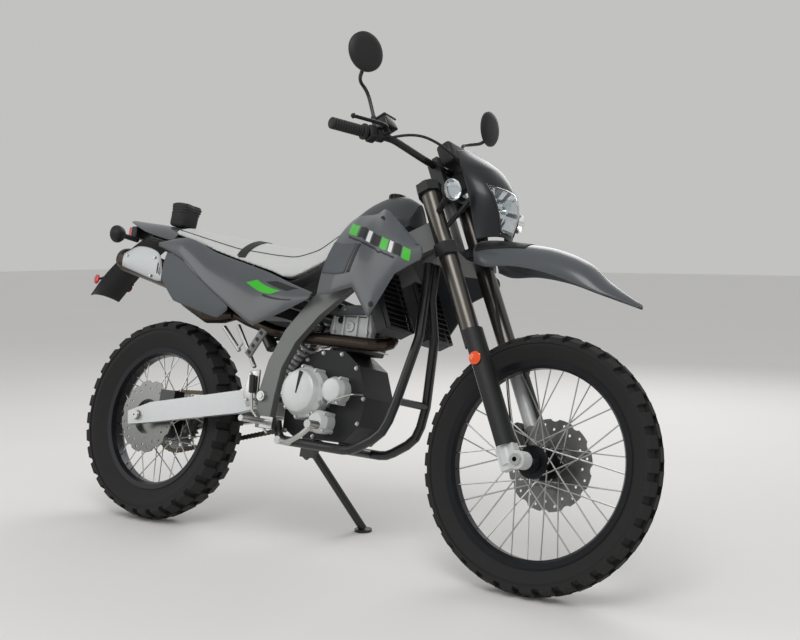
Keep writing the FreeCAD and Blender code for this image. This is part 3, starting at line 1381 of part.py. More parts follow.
# Lean the machine over, set it on the origin, check it and write it
steering_nodes = [
    "fork_tubes", "fork_sliders", "fork_guards", "fork_clamps", "front_axle", "handlebar", "grips",
    "hand_controls", "mirrors", "headlight_cowl", "headlight", "gauge", "front_signals",
    "front_fender", "front_caliper", "brake_hose",
]
front_wheel_nodes = ["front_tyre", "front_rim", "front_hub", "front_spokes", "front_disc"]
rear_wheel_nodes = ["rear_tyre", "rear_rim", "rear_hub", "rear_spokes", "rear_disc", "rear_sprocket"]
chassis_nodes = [
    "frame_main", "frame_cradle", "subframe", "swingarm", "rear_axle", "rear_shock", "engine_case",
    "engine_covers", "cylinder", "exhaust_pipe", "silencer", "heat_shield", "radiators", "airbox",
    "fuel_tank", "shrouds", "seat", "side_panels", "tail_fender", "mudguard", "rear_lamps",
    "foot_controls", "drive_chain", "rear_caliper", "tail_pouch",
]
nodes = chassis_nodes + steering_nodes + front_wheel_nodes + rear_wheel_nodes + ["side_stand"]

document.recompute()
for item in document.Objects:
    if "Invalid" in item.State or "Error" in item.State:
        raise RuntimeError(f"{item.Label} did not build")

leaning = Placement(Vector(0, 0, 0), Rotation(ALONG_X, -s.lean_angle))
bounds = FreeCAD.BoundBox()
for name in nodes:
    item = document.getObject(name)
    shape = item.Shape
    if shape.isNull() or not shape.isValid():
        raise RuntimeError(f"{name} is not a valid shape")
    leaned = shape.copy()
    leaned.Placement = leaning.multiply(leaned.Placement)
    for point in leaned.tessellate(0.3)[0]:
        bounds.add(point)
shift = Vector(-bounds.Center.x, -bounds.Center.y, -bounds.ZMin)
standing = Placement(shift, Rotation()).multiply(leaning)

os.makedirs("parts", exist_ok=True)
for name in nodes:
    item = document.getObject(name)
    item.Label = name
    item.Placement = standing.multiply(item.Placement)
document.recompute()
for name in nodes:
    document.getObject(name).Shape.exportStep(f"parts/{name}.step")

way = standing.Rotation
print("overall size", [round(length, 1) for length in (bounds.XLength, bounds.YLength, bounds.ZLength)])
print("steering foot", standing.multVec(Vector(s.steering_foot, 0, 0)), "axis", way.multVec(up_fork))
print("front axle", standing.multVec(front_axle), "rear axle", standing.multVec(rear_axle))
print("wheel axis", way.multVec(ALONG_Y))
print("stand pivot", standing.multVec(stand_pivot), "axis", way.multVec(stand_axis))
print("bar centre", standing.multVec(steered(s.bar_forward, 0, s.bar_height)))
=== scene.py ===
# %% [markdown]
# A dual sport motorcycle, dressed around its engineering model. It leans on its side stand,
# with tall wire wheels, a long flat seat and thin plastic bodywork over an open engine.
# The engineering model comes in first, and never moves. Everything made below is laid out on
# the upright machine, in metres from the rear tyre's foot, then leaned over with it.

# %% Load the fixed frame
import math
import bmesh
import bpy
from mathutils import Matrix, Vector
from mathutils.bvhtree import BVHTree


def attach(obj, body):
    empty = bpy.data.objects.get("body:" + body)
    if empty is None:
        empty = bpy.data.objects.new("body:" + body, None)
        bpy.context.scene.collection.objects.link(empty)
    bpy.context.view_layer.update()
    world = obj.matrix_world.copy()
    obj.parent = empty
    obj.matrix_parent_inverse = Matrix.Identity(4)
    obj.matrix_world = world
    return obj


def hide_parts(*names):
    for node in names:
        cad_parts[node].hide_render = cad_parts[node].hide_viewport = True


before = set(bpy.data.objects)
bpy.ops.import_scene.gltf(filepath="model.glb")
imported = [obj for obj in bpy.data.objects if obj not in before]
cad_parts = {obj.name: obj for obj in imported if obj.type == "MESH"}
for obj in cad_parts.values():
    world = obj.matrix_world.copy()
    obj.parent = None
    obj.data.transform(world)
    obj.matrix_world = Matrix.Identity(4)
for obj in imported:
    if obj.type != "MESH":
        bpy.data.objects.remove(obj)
scene = bpy.context.scene
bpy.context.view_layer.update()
print("nodes:", len(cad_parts))

# %% [markdown]
# Two placements carry a piece from its own drawing to its place. The first leans the whole
# machine to its left. The second also follows the raked steering head, for what turns with it.

# %% Placements of the leaning machine and its steering
LEAN = math.radians(13.67)
RAKE = math.radians(26.7)
STEERING_FOOT = 1.547
REAR_FOOT = Vector((-0.681752, -0.276018, 0.0))
upright = Matrix.Translation(REAR_FOOT) @ Matrix.Rotation(-LEAN, 4, "X")
steered = upright @ Matrix.Translation((STEERING_FOOT, 0, 0)) @ Matrix.Rotation(-RAKE, 4, "Y")
print("rear foot in the frame:", upright @ Vector((0, 0, 0)))

# %% [markdown]
# The camera stands low on the machine's right, ahead of the engine, as the photograph's did.
# A lens of 51 mm over a 36 mm sensor gives the same perspective.

# %% Camera
CAMERA_PLACE = Vector((2.883, -2.546, 0.918)) + Vector((REAR_FOOT.x, REAR_FOOT.y, 0))
CAMERA_TURN = math.radians(35.8)
CAMERA_DIP = math.radians(3.85)
lens = bpy.data.cameras.new("photo_camera")
lens.lens = 51.2
lens.sensor_width = 36
camera = bpy.data.objects.new("photo_camera", lens)
camera.location = CAMERA_PLACE
camera.rotation_euler = (math.radians(90) - CAMERA_DIP, 0, CAMERA_TURN)
scene.collection.objects.link(camera)
scene.camera = camera
scene.view_settings.view_transform = "Standard"
print("camera at", camera.location)

# %% [markdown]
# Colours are written as the sRGB hex values that a screen shows, and the renderer works in
# linear light, so one function turns the first into the second. Another adds a node to a
# material, fills in its settings and links its inputs, so each finish below reads as a list.

# %% Colour and node helpers
def linear(code, alpha=1.0):
    """An sRGB hex colour as linear light."""
    channels = [int(code[index:index + 2], 16) / 255 for index in (0, 2, 4)]
    return [value / 12.92 if value <= 0.04045 else ((value + 0.055) / 1.055) ** 2.4
            for value in channels] + [alpha]


def add_node(finish, kind, inputs=None, **settings):
    """A node with its settings. An input is a value, or an output socket to link."""
    node = finish.node_tree.nodes.new(kind)
    for name, value in settings.items():
        setattr(node, name, value)
    for name, value in (inputs or {}).items():
        if isinstance(value, bpy.types.NodeSocket):
            finish.node_tree.links.new(value, node.inputs[name])
        else:
            node.inputs[name].default_value = value
    return node


def new_finish(name):
    """An empty material and its surface shader."""
    finish = bpy.data.materials.new(name)
    finish.use_nodes = True
    shader = finish.node_tree.nodes["Principled BSDF"]
    return finish, shader


def feed(finish, shader, inputs):
    """Sets or links the shader's own inputs."""
    for name, value in inputs.items():
        if isinstance(value, bpy.types.NodeSocket):
            finish.node_tree.links.new(value, shader.inputs[name])
        else:
            shader.inputs[name].default_value = value


# %% [markdown]
# Most finishes share a pattern: two close colours mixed by a soft cloud of noise, a roughness
# that wanders a little, and a fine bump whose grain has a real size. Noise in this renderer
# repeats about once per unit of its scale, so a grain of so many millimetres needs a scale of
# 1000 divided by that size, as coordinates are in metres.

# %% A mottled finish
def mottled(name, light, dark, patch_mm, roughness, spread, grain_mm, grain_depth, metallic=0.0,
            coat=0.0):
    """A surface with colour patches, wandering roughness and a fine grain."""
    finish, shader = new_finish(name)
    place = add_node(finish, "ShaderNodeTexCoord").outputs["Object"]
    patches = add_node(finish, "ShaderNodeTexNoise", {
        "Vector": place, "Scale": 1000 / patch_mm, "Detail": 4.0, "Roughness": 0.6})
    colour = add_node(finish, "ShaderNodeMix", {
        "Factor": patches.outputs["Fac"], "A": linear(dark), "B": linear(light)},
        data_type="RGBA")
    sheen = add_node(finish, "ShaderNodeMapRange", {
        "Value": patches.outputs["Fac"], "To Min": roughness - spread, "To Max": roughness + spread})
    grain = add_node(finish, "ShaderNodeTexNoise", {
        "Vector": place, "Scale": 1000 / grain_mm, "Detail": 3.0})
    bump = add_node(finish, "ShaderNodeBump", {
        "Height": grain.outputs["Fac"], "Strength": 0.35, "Distance": grain_depth})
    feed(finish, shader, {
        "Base Color": colour.outputs["Result"], "Roughness": sheen.outputs["Result"],
        "Normal": bump.outputs["Normal"], "Metallic": metallic, "Coat Weight": coat,
        "Coat Roughness": 0.12})
    return finish


# %% [markdown]
# The bodywork is coloured polypropylene from a polished mould: a mid grey with a soft gloss
# and next to no grain. The lamp cowl is nearly black and the tank dark grey. The guards, the
# mudguard and the lamp housings come from a spark-eroded mould, which leaves a fine stipple.

# %% Moulded plastics
body_plastic = mottled("gloss_grey_moulding", "4f5255", "464a4d", 90, 0.30, 0.05, 4, 0.00004, coat=0.25)
cowl_plastic = mottled("gloss_navy_moulding", "080b14", "05070d", 90, 0.34, 0.05, 4, 0.00004, coat=0.15)
tank_plastic = mottled("dark_grey_moulding", "484b4d", "3d4042", 80, 0.42, 0.05, 3, 0.00005)
lower_plastic = mottled("slate_grained_moulding", "4b5054", "3f4448", 80, 0.50, 0.06, 1.6, 0.0001)
black_plastic = mottled("stippled_black_moulding", "121314", "0b0c0c", 60, 0.55, 0.07, 1.4, 0.00012)
gloss_black = mottled("polished_black_moulding", "1a1b1d", "141416", 60, 0.20, 0.04, 4, 0.00003, coat=0.5)

# %% [markdown]
# The swingarm is aluminium, blasted and clear anodised, so it is bright but never mirror-like,
# and the frame's beams are painted titanium grey. The engine's covers and head are castings
# painted silver on a black case, a little rougher. The cradle, subframe and stand are steel tube
# in black enamel, and the levers are anodised black.

# %% Metals of the frame and engine
blasted_alloy = mottled(
    "blasted_anodised_aluminium", "cccece", "babcbc", 40, 0.38, 0.06, 1.2, 0.00006, 0.85)
spar_paint = mottled(
    "titanium_grey_painted_aluminium", "747674", "686a68", 50, 0.40, 0.05, 2, 0.00005, 0.35)
cast_alloy = mottled("silver_painted_casting", "dadcdb", "c8cac9", 25, 0.42, 0.08, 1.5, 0.00015, 0.25)
black_casting = mottled("black_painted_casting", "131415", "0c0d0d", 25, 0.48, 0.08, 1.5, 0.00015, 0.2)
grey_casting = mottled("grey_painted_casting", "7b8084", "6b7074", 25, 0.45, 0.06, 1.5, 0.00012, 0.2)
black_enamel = mottled("black_enamelled_steel", "191a1c", "111213", 50, 0.34, 0.05, 3, 0.00005, coat=0.2)
bright_steel = mottled("zinc_plated_steel", "c9c9c6", "b5b5b1", 18, 0.30, 0.06, 1.5, 0.00004, 1.0)
shield_steel = mottled("satin_stainless_sheet", "a9abab", "989a9a", 30, 0.36, 0.05, 1.2, 0.00004, 1.0)
pipe_steel = mottled("heat_stained_stainless", "4d433b", "352f2b", 45, 0.36, 0.08, 1.5, 0.00006, 1.0)
fork_alloy = mottled("hard_anodised_fork_tube", "66625c", "575450", 60, 0.30, 0.04, 1.5, 0.00003, 0.9)
black_alloy = mottled("black_anodised_rim", "232427", "18191b", 40, 0.30, 0.05, 1.5, 0.00004, 0.6)
lever_alloy = mottled("black_anodised_lever", "2c2d2f", "1f2022", 30, 0.34, 0.05, 1.5, 0.00004, 0.7)
chain_steel = mottled("oiled_chain_steel", "77705f", "4e483c", 9, 0.38, 0.1, 1.5, 0.00008, 0.9)
drilled_steel = mottled("ground_disc_steel", "8d8d8b", "787876", 12, 0.30, 0.06, 1.0, 0.00004, 1.0)

# %% [markdown]
# Tyre rubber is matt and nearly black, and the grips are softer and smoother. The seat's cover
# is vinyl pressed with a leather grain, and the pouch is coated cloth with a coarse weave. The
# films on the panels are smooth vinyl, and the shock's spring is painted white.

# %% Rubber, vinyl, films and cloth
tyre_rubber = mottled("dusty_tyre_rubber", "201f1e", "121111", 30, 0.80, 0.08, 1.6, 0.0002)
grip_rubber = mottled("soft_black_rubber", "1d1d1e", "161617", 30, 0.62, 0.06, 1.5, 0.0001)
seat_vinyl = mottled("grained_grey_vinyl", "d0d1ce", "c4c5c2", 60, 0.52, 0.05, 1.8, 0.00022)
green_film = mottled("bright_green_vinyl_film", "37bd1c", "2fb016", 120, 0.28, 0.03, 6, 0.00001, coat=0.2)
black_film = mottled("black_vinyl_film", "090a0b", "060707", 120, 0.45, 0.03, 6, 0.00001)
white_film = mottled("white_vinyl_film", "dfe0df", "d4d5d4", 120, 0.3, 0.03, 6, 0.00001, coat=0.3)
spring_paint = mottled("white_painted_spring", "d9dadb", "c9cacb", 30, 0.32, 0.05, 2, 0.00003, coat=0.3)
pouch_fabric = mottled("coated_black_cordura", "262627", "161616", 12, 0.72, 0.08, 1.1, 0.0003)
strap_vinyl = mottled("grained_black_vinyl", "222223", "191919", 60, 0.55, 0.05, 1.8, 0.0002)

# %% [markdown]
# Lamp lenses are clear polycarbonate over a bright reflector: they pass nearly all light, and
# ripple a little, as moulded ones do. Reflectors are coloured through, with the small cells
# that return light.

# %% Glass, lenses and mirrors
def lens_finish(name, colour, clear, cell_mm):
    """A glossy moulded lens: its tint, the share of light that passes, and its cells' size."""
    finish, shader = new_finish(name)
    place = add_node(finish, "ShaderNodeTexCoord").outputs["Object"]
    cells = add_node(finish, "ShaderNodeTexVoronoi", {"Vector": place, "Scale": 1000 / cell_mm})
    bump = add_node(finish, "ShaderNodeBump", {
        "Height": cells.outputs["Distance"], "Strength": 0.2, "Distance": 0.0005})
    feed(finish, shader, {
        "Base Color": linear(colour), "Roughness": 0.08, "Transmission Weight": clear,
        "IOR": 1.49, "Normal": bump.outputs["Normal"], "Coat Weight": 0.4, "Coat Roughness": 0.05})
    return finish


clear_lens = lens_finish("clear_polycarbonate_lens", "fafcfd", 1.0, 14)
orange_lens = lens_finish("orange_reflector", "ff5a12", 0.15, 4)
red_lens = lens_finish("red_reflector", "c8141a", 0.15, 4)
screen_glass = lens_finish("tinted_gauge_window", "15181b", 0.0, 60)
chrome = mottled("vacuum_chromed_bowl", "e9eef1", "d9dfe3", 20, 0.08, 0.02, 5, 0.00002, 1.0)
# A darker copy of the chrome is painted shade, laid on some of the lamp bowl's facets
painted_shade_chrome = mottled("painted_shade_reflector_facet", "3b4650", "222a31", 20, 0.12, 0.03, 5, 0.00002, 0.9)
mirror_glass = mottled("silvered_mirror_glass", "e9ecee", "e2e6e8", 50, 0.03, 0.01, 20, 0.00001, 1.0)
print("finishes:", len(bpy.data.materials))

# %% [markdown]
# Finishes go on the engineering nodes whose shape is already right. A node keeps its mesh, and
# only its material slots change.

# %% Dress the nodes that stay
NODE_FINISHES = [
    # finish, nodes
    (blasted_alloy, ["swingarm"]),
    (spar_paint, ["frame_main"]),
    (black_enamel, ["frame_cradle", "subframe", "side_stand", "fork_clamps", "handlebar", "rear_caliper",
                    "rear_shock", "front_caliper", "hand_controls", "mirrors"]),
    (bright_steel, ["rear_axle", "front_axle", "foot_controls", "front_spokes", "rear_spokes"]),
    (cast_alloy, ["engine_covers", "cylinder", "fork_sliders"]),
    (black_casting, ["engine_case"]),
    (pipe_steel, ["exhaust_pipe", "silencer"]),
    (shield_steel, ["heat_shield"]),
    (black_plastic, ["radiators", "airbox", "mudguard", "fork_guards", "gauge", "rear_lamps",
                     "front_signals", "headlight", "tail_pouch"]),
    (tank_plastic, ["fuel_tank"]),
    (body_plastic, ["shrouds", "side_panels", "tail_fender", "front_fender"]),
    (cowl_plastic, ["headlight_cowl"]),
    (seat_vinyl, ["seat"]),
    (chain_steel, ["drive_chain"]),
    (fork_alloy, ["fork_tubes"]),
    (grip_rubber, ["grips", "brake_hose"]),
    (black_alloy, ["front_rim", "rear_rim", "front_hub", "rear_hub"]),
    (drilled_steel, ["front_disc", "rear_disc", "rear_sprocket"]),
    (tyre_rubber, ["front_tyre", "rear_tyre"]),
]
for finish, names in NODE_FINISHES:
    for name in names:
        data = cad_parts[name].data
        data.materials.clear()
        data.materials.append(finish)
print("dressed nodes:", sum(len(names) for finish, names in NODE_FINISHES))

# %% [markdown]
# Every curved panel is one smooth surface through a few stations. A station is an arc through
# three points: an edge, the middle and the other edge. The stations are joined by a smooth
# curve, so a share along and a share across, both from 0 to 1, name any point of the panel, and
# the stripes laid on it later follow its form.

# %% Points on arcs, curves and panels
def on_arc(first, middle, last, share):
    """A point on the arc through three points."""
    start = middle - first
    chord = last - first
    axis = start.cross(chord)
    centre = first + (axis.cross(start) * chord.length_squared
                      + chord.cross(axis) * start.length_squared) / (2 * axis.length_squared)
    arm = first - centre
    sweep = arm.angle(middle - centre) + (middle - centre).angle(last - centre)
    return centre + Matrix.Rotation(sweep * share, 3, axis.normalized()) @ arm


def on_curve(points, share, ease=1.0):
    """A point on the smooth curve through a row of points. An ease under 1 straightens it."""
    spans = len(points) - 1
    index = min(int(share * spans), spans - 1)
    rest = share * spans - index
    start, end = points[index], points[index + 1]
    before = points[index - 1] if index else start * 2 - end
    after = points[index + 2] if index + 2 <= spans else end * 2 - start
    leave, arrive = (end - before) * 0.5 * ease, (after - start) * 0.5 * ease
    flat = (end - start) * (1 - ease)
    leave, arrive = leave + flat, arrive + flat
    return (start * (2 * rest ** 3 - 3 * rest ** 2 + 1) + leave * (rest ** 3 - 2 * rest ** 2 + rest)
            + end * (3 * rest ** 2 - 2 * rest ** 3) + arrive * (rest ** 3 - rest ** 2))


def stations(rows, ease=(1.0, 1.0)):
    """How far a panel's first and last edges are eased, and its stations, in millimetres."""
    return ease, [[Vector(point) / 1000 for point in row] for row in rows]


def across(rows, ease=(1.0, 1.0)):
    """Stations over the machine's width, from edge x, edge y, edge z, crown x and crown z."""
    return stations([((ex, -ey, ez), (cx, 0, cz), (ex, ey, ez)) for ex, ey, ez, cx, cz in rows], ease)


def panel_point(panel, along, over):
    """A point of a panel."""
    ease, rows = panel
    return on_curve([on_arc(*row, over) for row in rows], along, ease[0] + (ease[1] - ease[0]) * over)


def round_section(row, share):
    """A point round a closed arched section: over the top, then back along the floor."""
    x, floor, shoulder, top, low_half, shoulder_half = [value / 1000 for value in row]
    right, left = Vector((x, -low_half, floor)), Vector((x, low_half, floor))
    if share > 0.75:
        return left.lerp(right, (share - 0.75) * 4)
    arch = [right, Vector((x, -shoulder_half, shoulder)), Vector((x, 0, top)),
            Vector((x, shoulder_half, shoulder)), left]
    return on_curve(arch, share / 0.75)


# %% [markdown]
# Shapes are made in a mesh of their own and then settled: moved to their place on the leaning
# machine, given finishes, and told which body carries them and which engineering node they
# stand for. Edges sharper than a set angle stay crisp, and the rest shade smoothly.

# %% Settling a shape on the machine
new_pieces = []


def carry(piece, body, stands_for=()):
    """A piece rides on its body and stands for the nodes that it replaces."""
    new_pieces.append(piece.name)
    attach(piece, body)
    if stands_for:
        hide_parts(*stands_for)
    return piece


def settle(name, mesh, place, finishes, body, stands_for=(), crisp=38, wall=0.0,
           rounding=0.0, levels=0):
    """Turns a mesh in progress into a finished piece."""
    mesh.transform(place)
    for edge in mesh.edges:
        edge.smooth = not edge.is_manifold or edge.calc_face_angle(0) < math.radians(crisp)
    for face in mesh.faces:
        face.smooth = True
    data = bpy.data.meshes.new(name)
    mesh.to_mesh(data)
    mesh.free()
    for finish in finishes:
        data.materials.append(finish)
    piece = bpy.data.objects.new(name, data)
    scene.collection.objects.link(piece)
    if wall:
        sheet = piece.modifiers.new("wall", "SOLIDIFY")
        sheet.thickness = wall
        sheet.offset = -1
        sheet.use_even_offset = True
    if levels:
        smoothing = piece.modifiers.new("smoothing", "SUBSURF")
        smoothing.levels = levels
        smoothing.render_levels = levels
    if rounding:
        edges = piece.modifiers.new("edges", "BEVEL")
        edges.width = rounding
        edges.segments = 2
        edges.profile = 0.5
        edges.limit_method = "ANGLE"
        edges.angle_limit = math.radians(crisp)
        edges.material = -1
    return carry(piece, body, stands_for)


def tell():
    """Prints the pieces that a step has made."""
    print("made:", ", ".join(new_pieces))
    new_pieces.clear()


def merged(parts):
    """Several shapes as one mesh. Each is a mesh in progress, its place and its finish's number."""
    whole = bmesh.new()
    for part, place, finish in parts:
        part.transform(place)
        for face in part.faces:
            face.material_index += finish
        data = bpy.data.meshes.new("part")
        part.to_mesh(data)
        part.free()
        whole.from_mesh(data)
        bpy.data.meshes.remove(data)
    return whole


def and_mirrored(mesh):
    """The same shape on both sides of the machine."""
    twin = bmesh.ops.duplicate(mesh, geom=mesh.verts[:] + mesh.edges[:] + mesh.faces[:])["geom"]
    corners = [item for item in twin if isinstance(item, bmesh.types.BMVert)]
    faces = [item for item in twin if isinstance(item, bmesh.types.BMFace)]
    bmesh.ops.scale(mesh, vec=(1, -1, 1), verts=corners)
    bmesh.ops.reverse_faces(mesh, faces=faces)
    return mesh


# %% [markdown]
# A few forms recur. A skin is a grid laid over a panel's stations, and a patch is a strip laid
# on it. A turned form is a profile spun about its axis, for lenses, mirrors and caps. A block is
# a box with rounded edges, a rod is a bar between two points, and a bolt is a flanged hexagon.

# %% Recurring forms
STAY = Matrix.Identity(4)
RIGHT = Vector((0, -1, 0))
LEFT = Vector((0, 1, 0))
TOP = Vector((0, 0, 1))
# The share of a panel over which its slope is measured
SLOPE_STEP = 0.02


def face_out(mesh, outward):
    """Turns a sheet's faces to look along a direction."""
    mesh.normal_update()
    if sum(face.normal.dot(outward) for face in mesh.faces) < 0:
        bmesh.ops.reverse_faces(mesh, faces=mesh.faces[:])
    return mesh


def skin(rows, long_cells, cross_cells, outward, windows=()):
    """A grid laid over a panel. A window runs between two shares along, with a half width at each."""
    mesh = bmesh.new()
    bmesh.ops.create_grid(mesh, x_segments=long_cells, y_segments=cross_cells, size=0.5)
    bmesh.ops.translate(mesh, vec=(0.5, 0.5, 0), verts=mesh.verts[:])
    for near, far, low, high in windows:
        gone = []
        for face in mesh.faces:
            centre = face.calc_center_median()
            half_width = low + (high - low) * (centre.x - near) / (far - near)
            if near < centre.x < far and abs(centre.y - 0.5) < half_width:
                gone.append(face)
        bmesh.ops.delete(mesh, geom=gone, context="FACES")
    for vertex in mesh.verts:
        vertex.co = panel_point(rows, vertex.co.x, vertex.co.y)
    return face_out(mesh, outward)


def patch(rows, corners, lift, outward, cells=(12, 6)):
    """A strip that stands a lift off a panel, between four corners of shares along and across."""
    mesh = bmesh.new()
    bmesh.ops.create_grid(mesh, x_segments=cells[0], y_segments=cells[1], size=0.5)
    first, second, third, fourth = [Vector(corner) for corner in corners]
    for vertex in mesh.verts:
        spot = first.lerp(second, vertex.co.x + 0.5).lerp(
            fourth.lerp(third, vertex.co.x + 0.5), vertex.co.y + 0.5)
        point = panel_point(rows, spot.x, spot.y)
        ahead = (panel_point(rows, min(spot.x + SLOPE_STEP, 1), spot.y)
                 - panel_point(rows, max(spot.x - SLOPE_STEP, 0), spot.y))
        aside = (panel_point(rows, spot.x, min(spot.y + SLOPE_STEP, 1))
                 - panel_point(rows, spot.x, max(spot.y - SLOPE_STEP, 0)))
        away = ahead.cross(aside).normalized()
        vertex.co = point + away * (lift if away.dot(outward) > 0 else -lift)
    return face_out(mesh, outward)


def arched_body(rows, long_cells, round_cells):
    """A closed body through arched sections, with its ends filled."""
    mesh = bmesh.new()
    bmesh.ops.create_grid(mesh, x_segments=long_cells, y_segments=round_cells, size=0.5)
    for vertex in mesh.verts:
        around = vertex.co.y + 0.5
        vertex.co = on_curve([round_section(row, around) for row in rows], vertex.co.x + 0.5)
    bmesh.ops.remove_doubles(mesh, verts=mesh.verts[:], dist=0.0001)
    ends = [edge for edge in mesh.edges if edge.is_boundary]
    bmesh.ops.holes_fill(mesh, edges=ends, sides=0)
    bmesh.ops.recalc_face_normals(mesh, faces=mesh.faces[:])
    return mesh


def turned(profile, steps=40):
    """A profile of along and radius in millimetres, spun about the X axis."""
    mesh = bmesh.new()
    points = [mesh.verts.new((along / 1000, 0, radius / 1000)) for along, radius in profile]
    lines = [mesh.edges.new(pair) for pair in zip(points, points[1:])]
    bmesh.ops.spin(mesh, geom=points + lines, cent=(0, 0, 0), axis=(1, 0, 0), dvec=(0, 0, 0),
                   angle=2 * math.pi, steps=steps, use_merge=True)
    bmesh.ops.remove_doubles(mesh, verts=mesh.verts[:], dist=0.00002)
    bmesh.ops.recalc_face_normals(mesh, faces=mesh.faces[:])
    return mesh


def at(place):
    """Moves a form to a place in millimetres."""
    return Matrix.Translation(Vector(place) / 1000)


def facing(place, direction):
    """Stands a form's X axis along a direction, at a place in millimetres."""
    return at(place) @ Vector(direction).to_track_quat("X", "Z").to_matrix().to_4x4()


def tipped(degrees):
    """Turns a form about the machine's width."""
    return Matrix.Rotation(math.radians(degrees), 4, "Y")


def boss(profile, place, steps, finish=0, way=RIGHT):
    """A turned form as a part to be merged, standing on a side of the machine."""
    return (turned(profile, steps), facing(place, way), finish)


def block(size, radius=1.5, segments=3):
    """A box of a size in millimetres about its own middle, with rounded edges."""
    mesh = bmesh.new()
    bmesh.ops.create_cube(mesh, size=0.001)
    bmesh.ops.scale(mesh, vec=size, verts=mesh.verts[:])
    bmesh.ops.bevel(mesh, geom=mesh.edges[:], offset=radius / 1000, segments=segments,
                    profile=0.5, affect="EDGES", material=-1)
    return mesh


def rod(start, end, radius, steps=16):
    """A round bar between two points in millimetres, chamfered at both ends."""
    length = (Vector(end) - Vector(start)).length
    chamfer = min(radius * 0.25, length * 0.1)
    mesh = turned([(0, 0), (0, radius - chamfer), (chamfer, radius), (length - chamfer, radius),
                   (length, radius - chamfer), (length, 0)], steps)
    mesh.transform(facing(start, Vector(end) - Vector(start)))
    return mesh


def plate(corners, near, far, radius=2.0):
    """A plate with an outline of forward and up, between two distances across, in millimetres."""
    mesh = bmesh.new()
    outline = [mesh.verts.new((forward / 1000, near / 1000, up / 1000)) for forward, up in corners]
    face = mesh.faces.new(outline)
    pulled = bmesh.ops.extrude_face_region(mesh, geom=[face])["geom"]
    bmesh.ops.translate(mesh, vec=(0, (far - near) / 1000, 0),
                        verts=[item for item in pulled if isinstance(item, bmesh.types.BMVert)])
    bmesh.ops.recalc_face_normals(mesh, faces=mesh.faces[:])
    bmesh.ops.bevel(mesh, geom=mesh.edges[:], offset=radius / 1000, segments=3, profile=0.5,
                    affect="EDGES", material=-1)
    return mesh


def bolt(place, direction, across_flats=8):
    """A flanged hexagon head standing on a face."""
    flange = turned([(0, 0), (0, across_flats * 0.8), (1.4, across_flats * 0.72), (1.4, 0)], 16)
    head = turned([(1.2, 0), (1.2, across_flats * 0.57), (across_flats * 0.55, across_flats * 0.57),
                   (across_flats * 0.65, across_flats * 0.45), (across_flats * 0.65, 0)], 6)
    where = facing(place, direction)
    return merged([(flange, where, 0), (head, where, 0)])


def bent_rod(name, points, radius, finish, body, place, stands_for=()):
    """A round rod or moulded hose along a smooth line through control points in millimetres."""
    line = bpy.data.curves.new(name, "CURVE")
    line.dimensions = "3D"
    line.bevel_depth = radius / 1000
    line.bevel_resolution = 3
    line.resolution_u = 8
    line.use_fill_caps = True
    spline = line.splines.new("NURBS")
    spline.points.add(len(points) - 1)
    for knot, point in zip(spline.points, points):
        knot.co = (*(place @ (Vector(point) / 1000)), 1)
    spline.order_u = 3
    spline.use_endpoint_u = True
    line.materials.append(finish)
    piece = bpy.data.objects.new(name, line)
    scene.collection.objects.link(piece)
    return carry(piece, body, stands_for)


print("forms ready")

# %% [markdown]
# The brake hose is braided line in a black sleeve. It leaves the fluid box by the right grip,
# arches over the lamp and follows the left fork leg to the caliper. It is a real hose, so it is
# one smooth curve through its routing points.

# %% Front brake hose
HOSE_DIAMETER = 8
hose_route = [
    (20, -232, 1325), (74, -190, 1330), (118, -120, 1290), (132, -30, 1225), (112, 46, 1145),
    (84, 62, 1060), (62, 57, 965), (52, 60, 868), (36, 64, 768), (22, 64, 668), (2, 60, 580),
    (-18, 68, 500.95),
]
brake_hose = bent_rod("front_brake_hose", hose_route, HOSE_DIAMETER / 2, grip_rubber, "steering",
                      steered, ["brake_hose"])
tell()

# %% [markdown]
# The bodywork is thin injection moulding, about 4 mm thick, curved both ways. Each panel is a
# skin with a real wall, so its edges show their thickness. The shrouds wrap the tank's sides and
# reach forwards past the radiators.

# %% Radiator shrouds
shroud_rows = stations([
    ((728, -160, 750), (745, -150, 880), (768, -88, 996)),
    ((800, -182, 754), (812, -172, 890), (800, -96, 1004)),
    ((885, -196, 770), (890, -190, 900), (862, -98, 1012)),
    ((962, -204, 684), (965, -204, 850), (945, -166, 1004)),
    ((1035, -208, 808), (1040, -210, 880), (1010, -186, 962)),
    ((1118, -212, 850), (1122, -213, 862), (1104, -210, 892)),
], ease=(0.1, 0.75))
PANEL_WALL = 0.004
EDGE_ROUND = 0.0008
settle("radiator_shrouds", and_mirrored(skin(shroud_rows, 50, 20, RIGHT)), upright, [body_plastic],
       "chassis", ["shrouds"], wall=PANEL_WALL, rounding=EDGE_ROUND)
tell()

# %% [markdown]
# The side panel is two mouldings: a long grey blade under the seat and a dark grained cover
# below it. They stand for one engineering node.

# %% Side panels
side_rows = stations([
    ((-30, -116, 905), (-30, -119, 913), (-30, -116, 921)),
    ((110, -140, 862), (110, -142, 900), (110, -118, 935)),
    ((250, -154, 778), (250, -150, 830), (250, -116, 886)),
    ((390, -158, 698), (390, -154, 775), (390, -117, 850)),
    ((490, -160, 650), (490, -156, 740), (490, -117, 824)),
    ((600, -160, 694), (600, -158, 750), (600, -134, 789)),
    ((700, -158, 740), (700, -156, 750), (700, -146, 760)),
], ease=(0.3, 0.8))
lower_rows = stations([
    ((32, -139, 790), (32, -140, 838), (32, -131, 884.9)),
    ((105, -138, 720), (105, -142, 790), (105, -139, 862.4)),
    ((200, -146, 697), (200, -151, 750), (200, -149, 806.8)),
    ((327, -152, 668), (327, -157, 700), (327, -156, 732.8)),
    ((372, -155, 694), (372, -158, 701), (372, -157, 707)),
], ease=(0.2, 0.5))
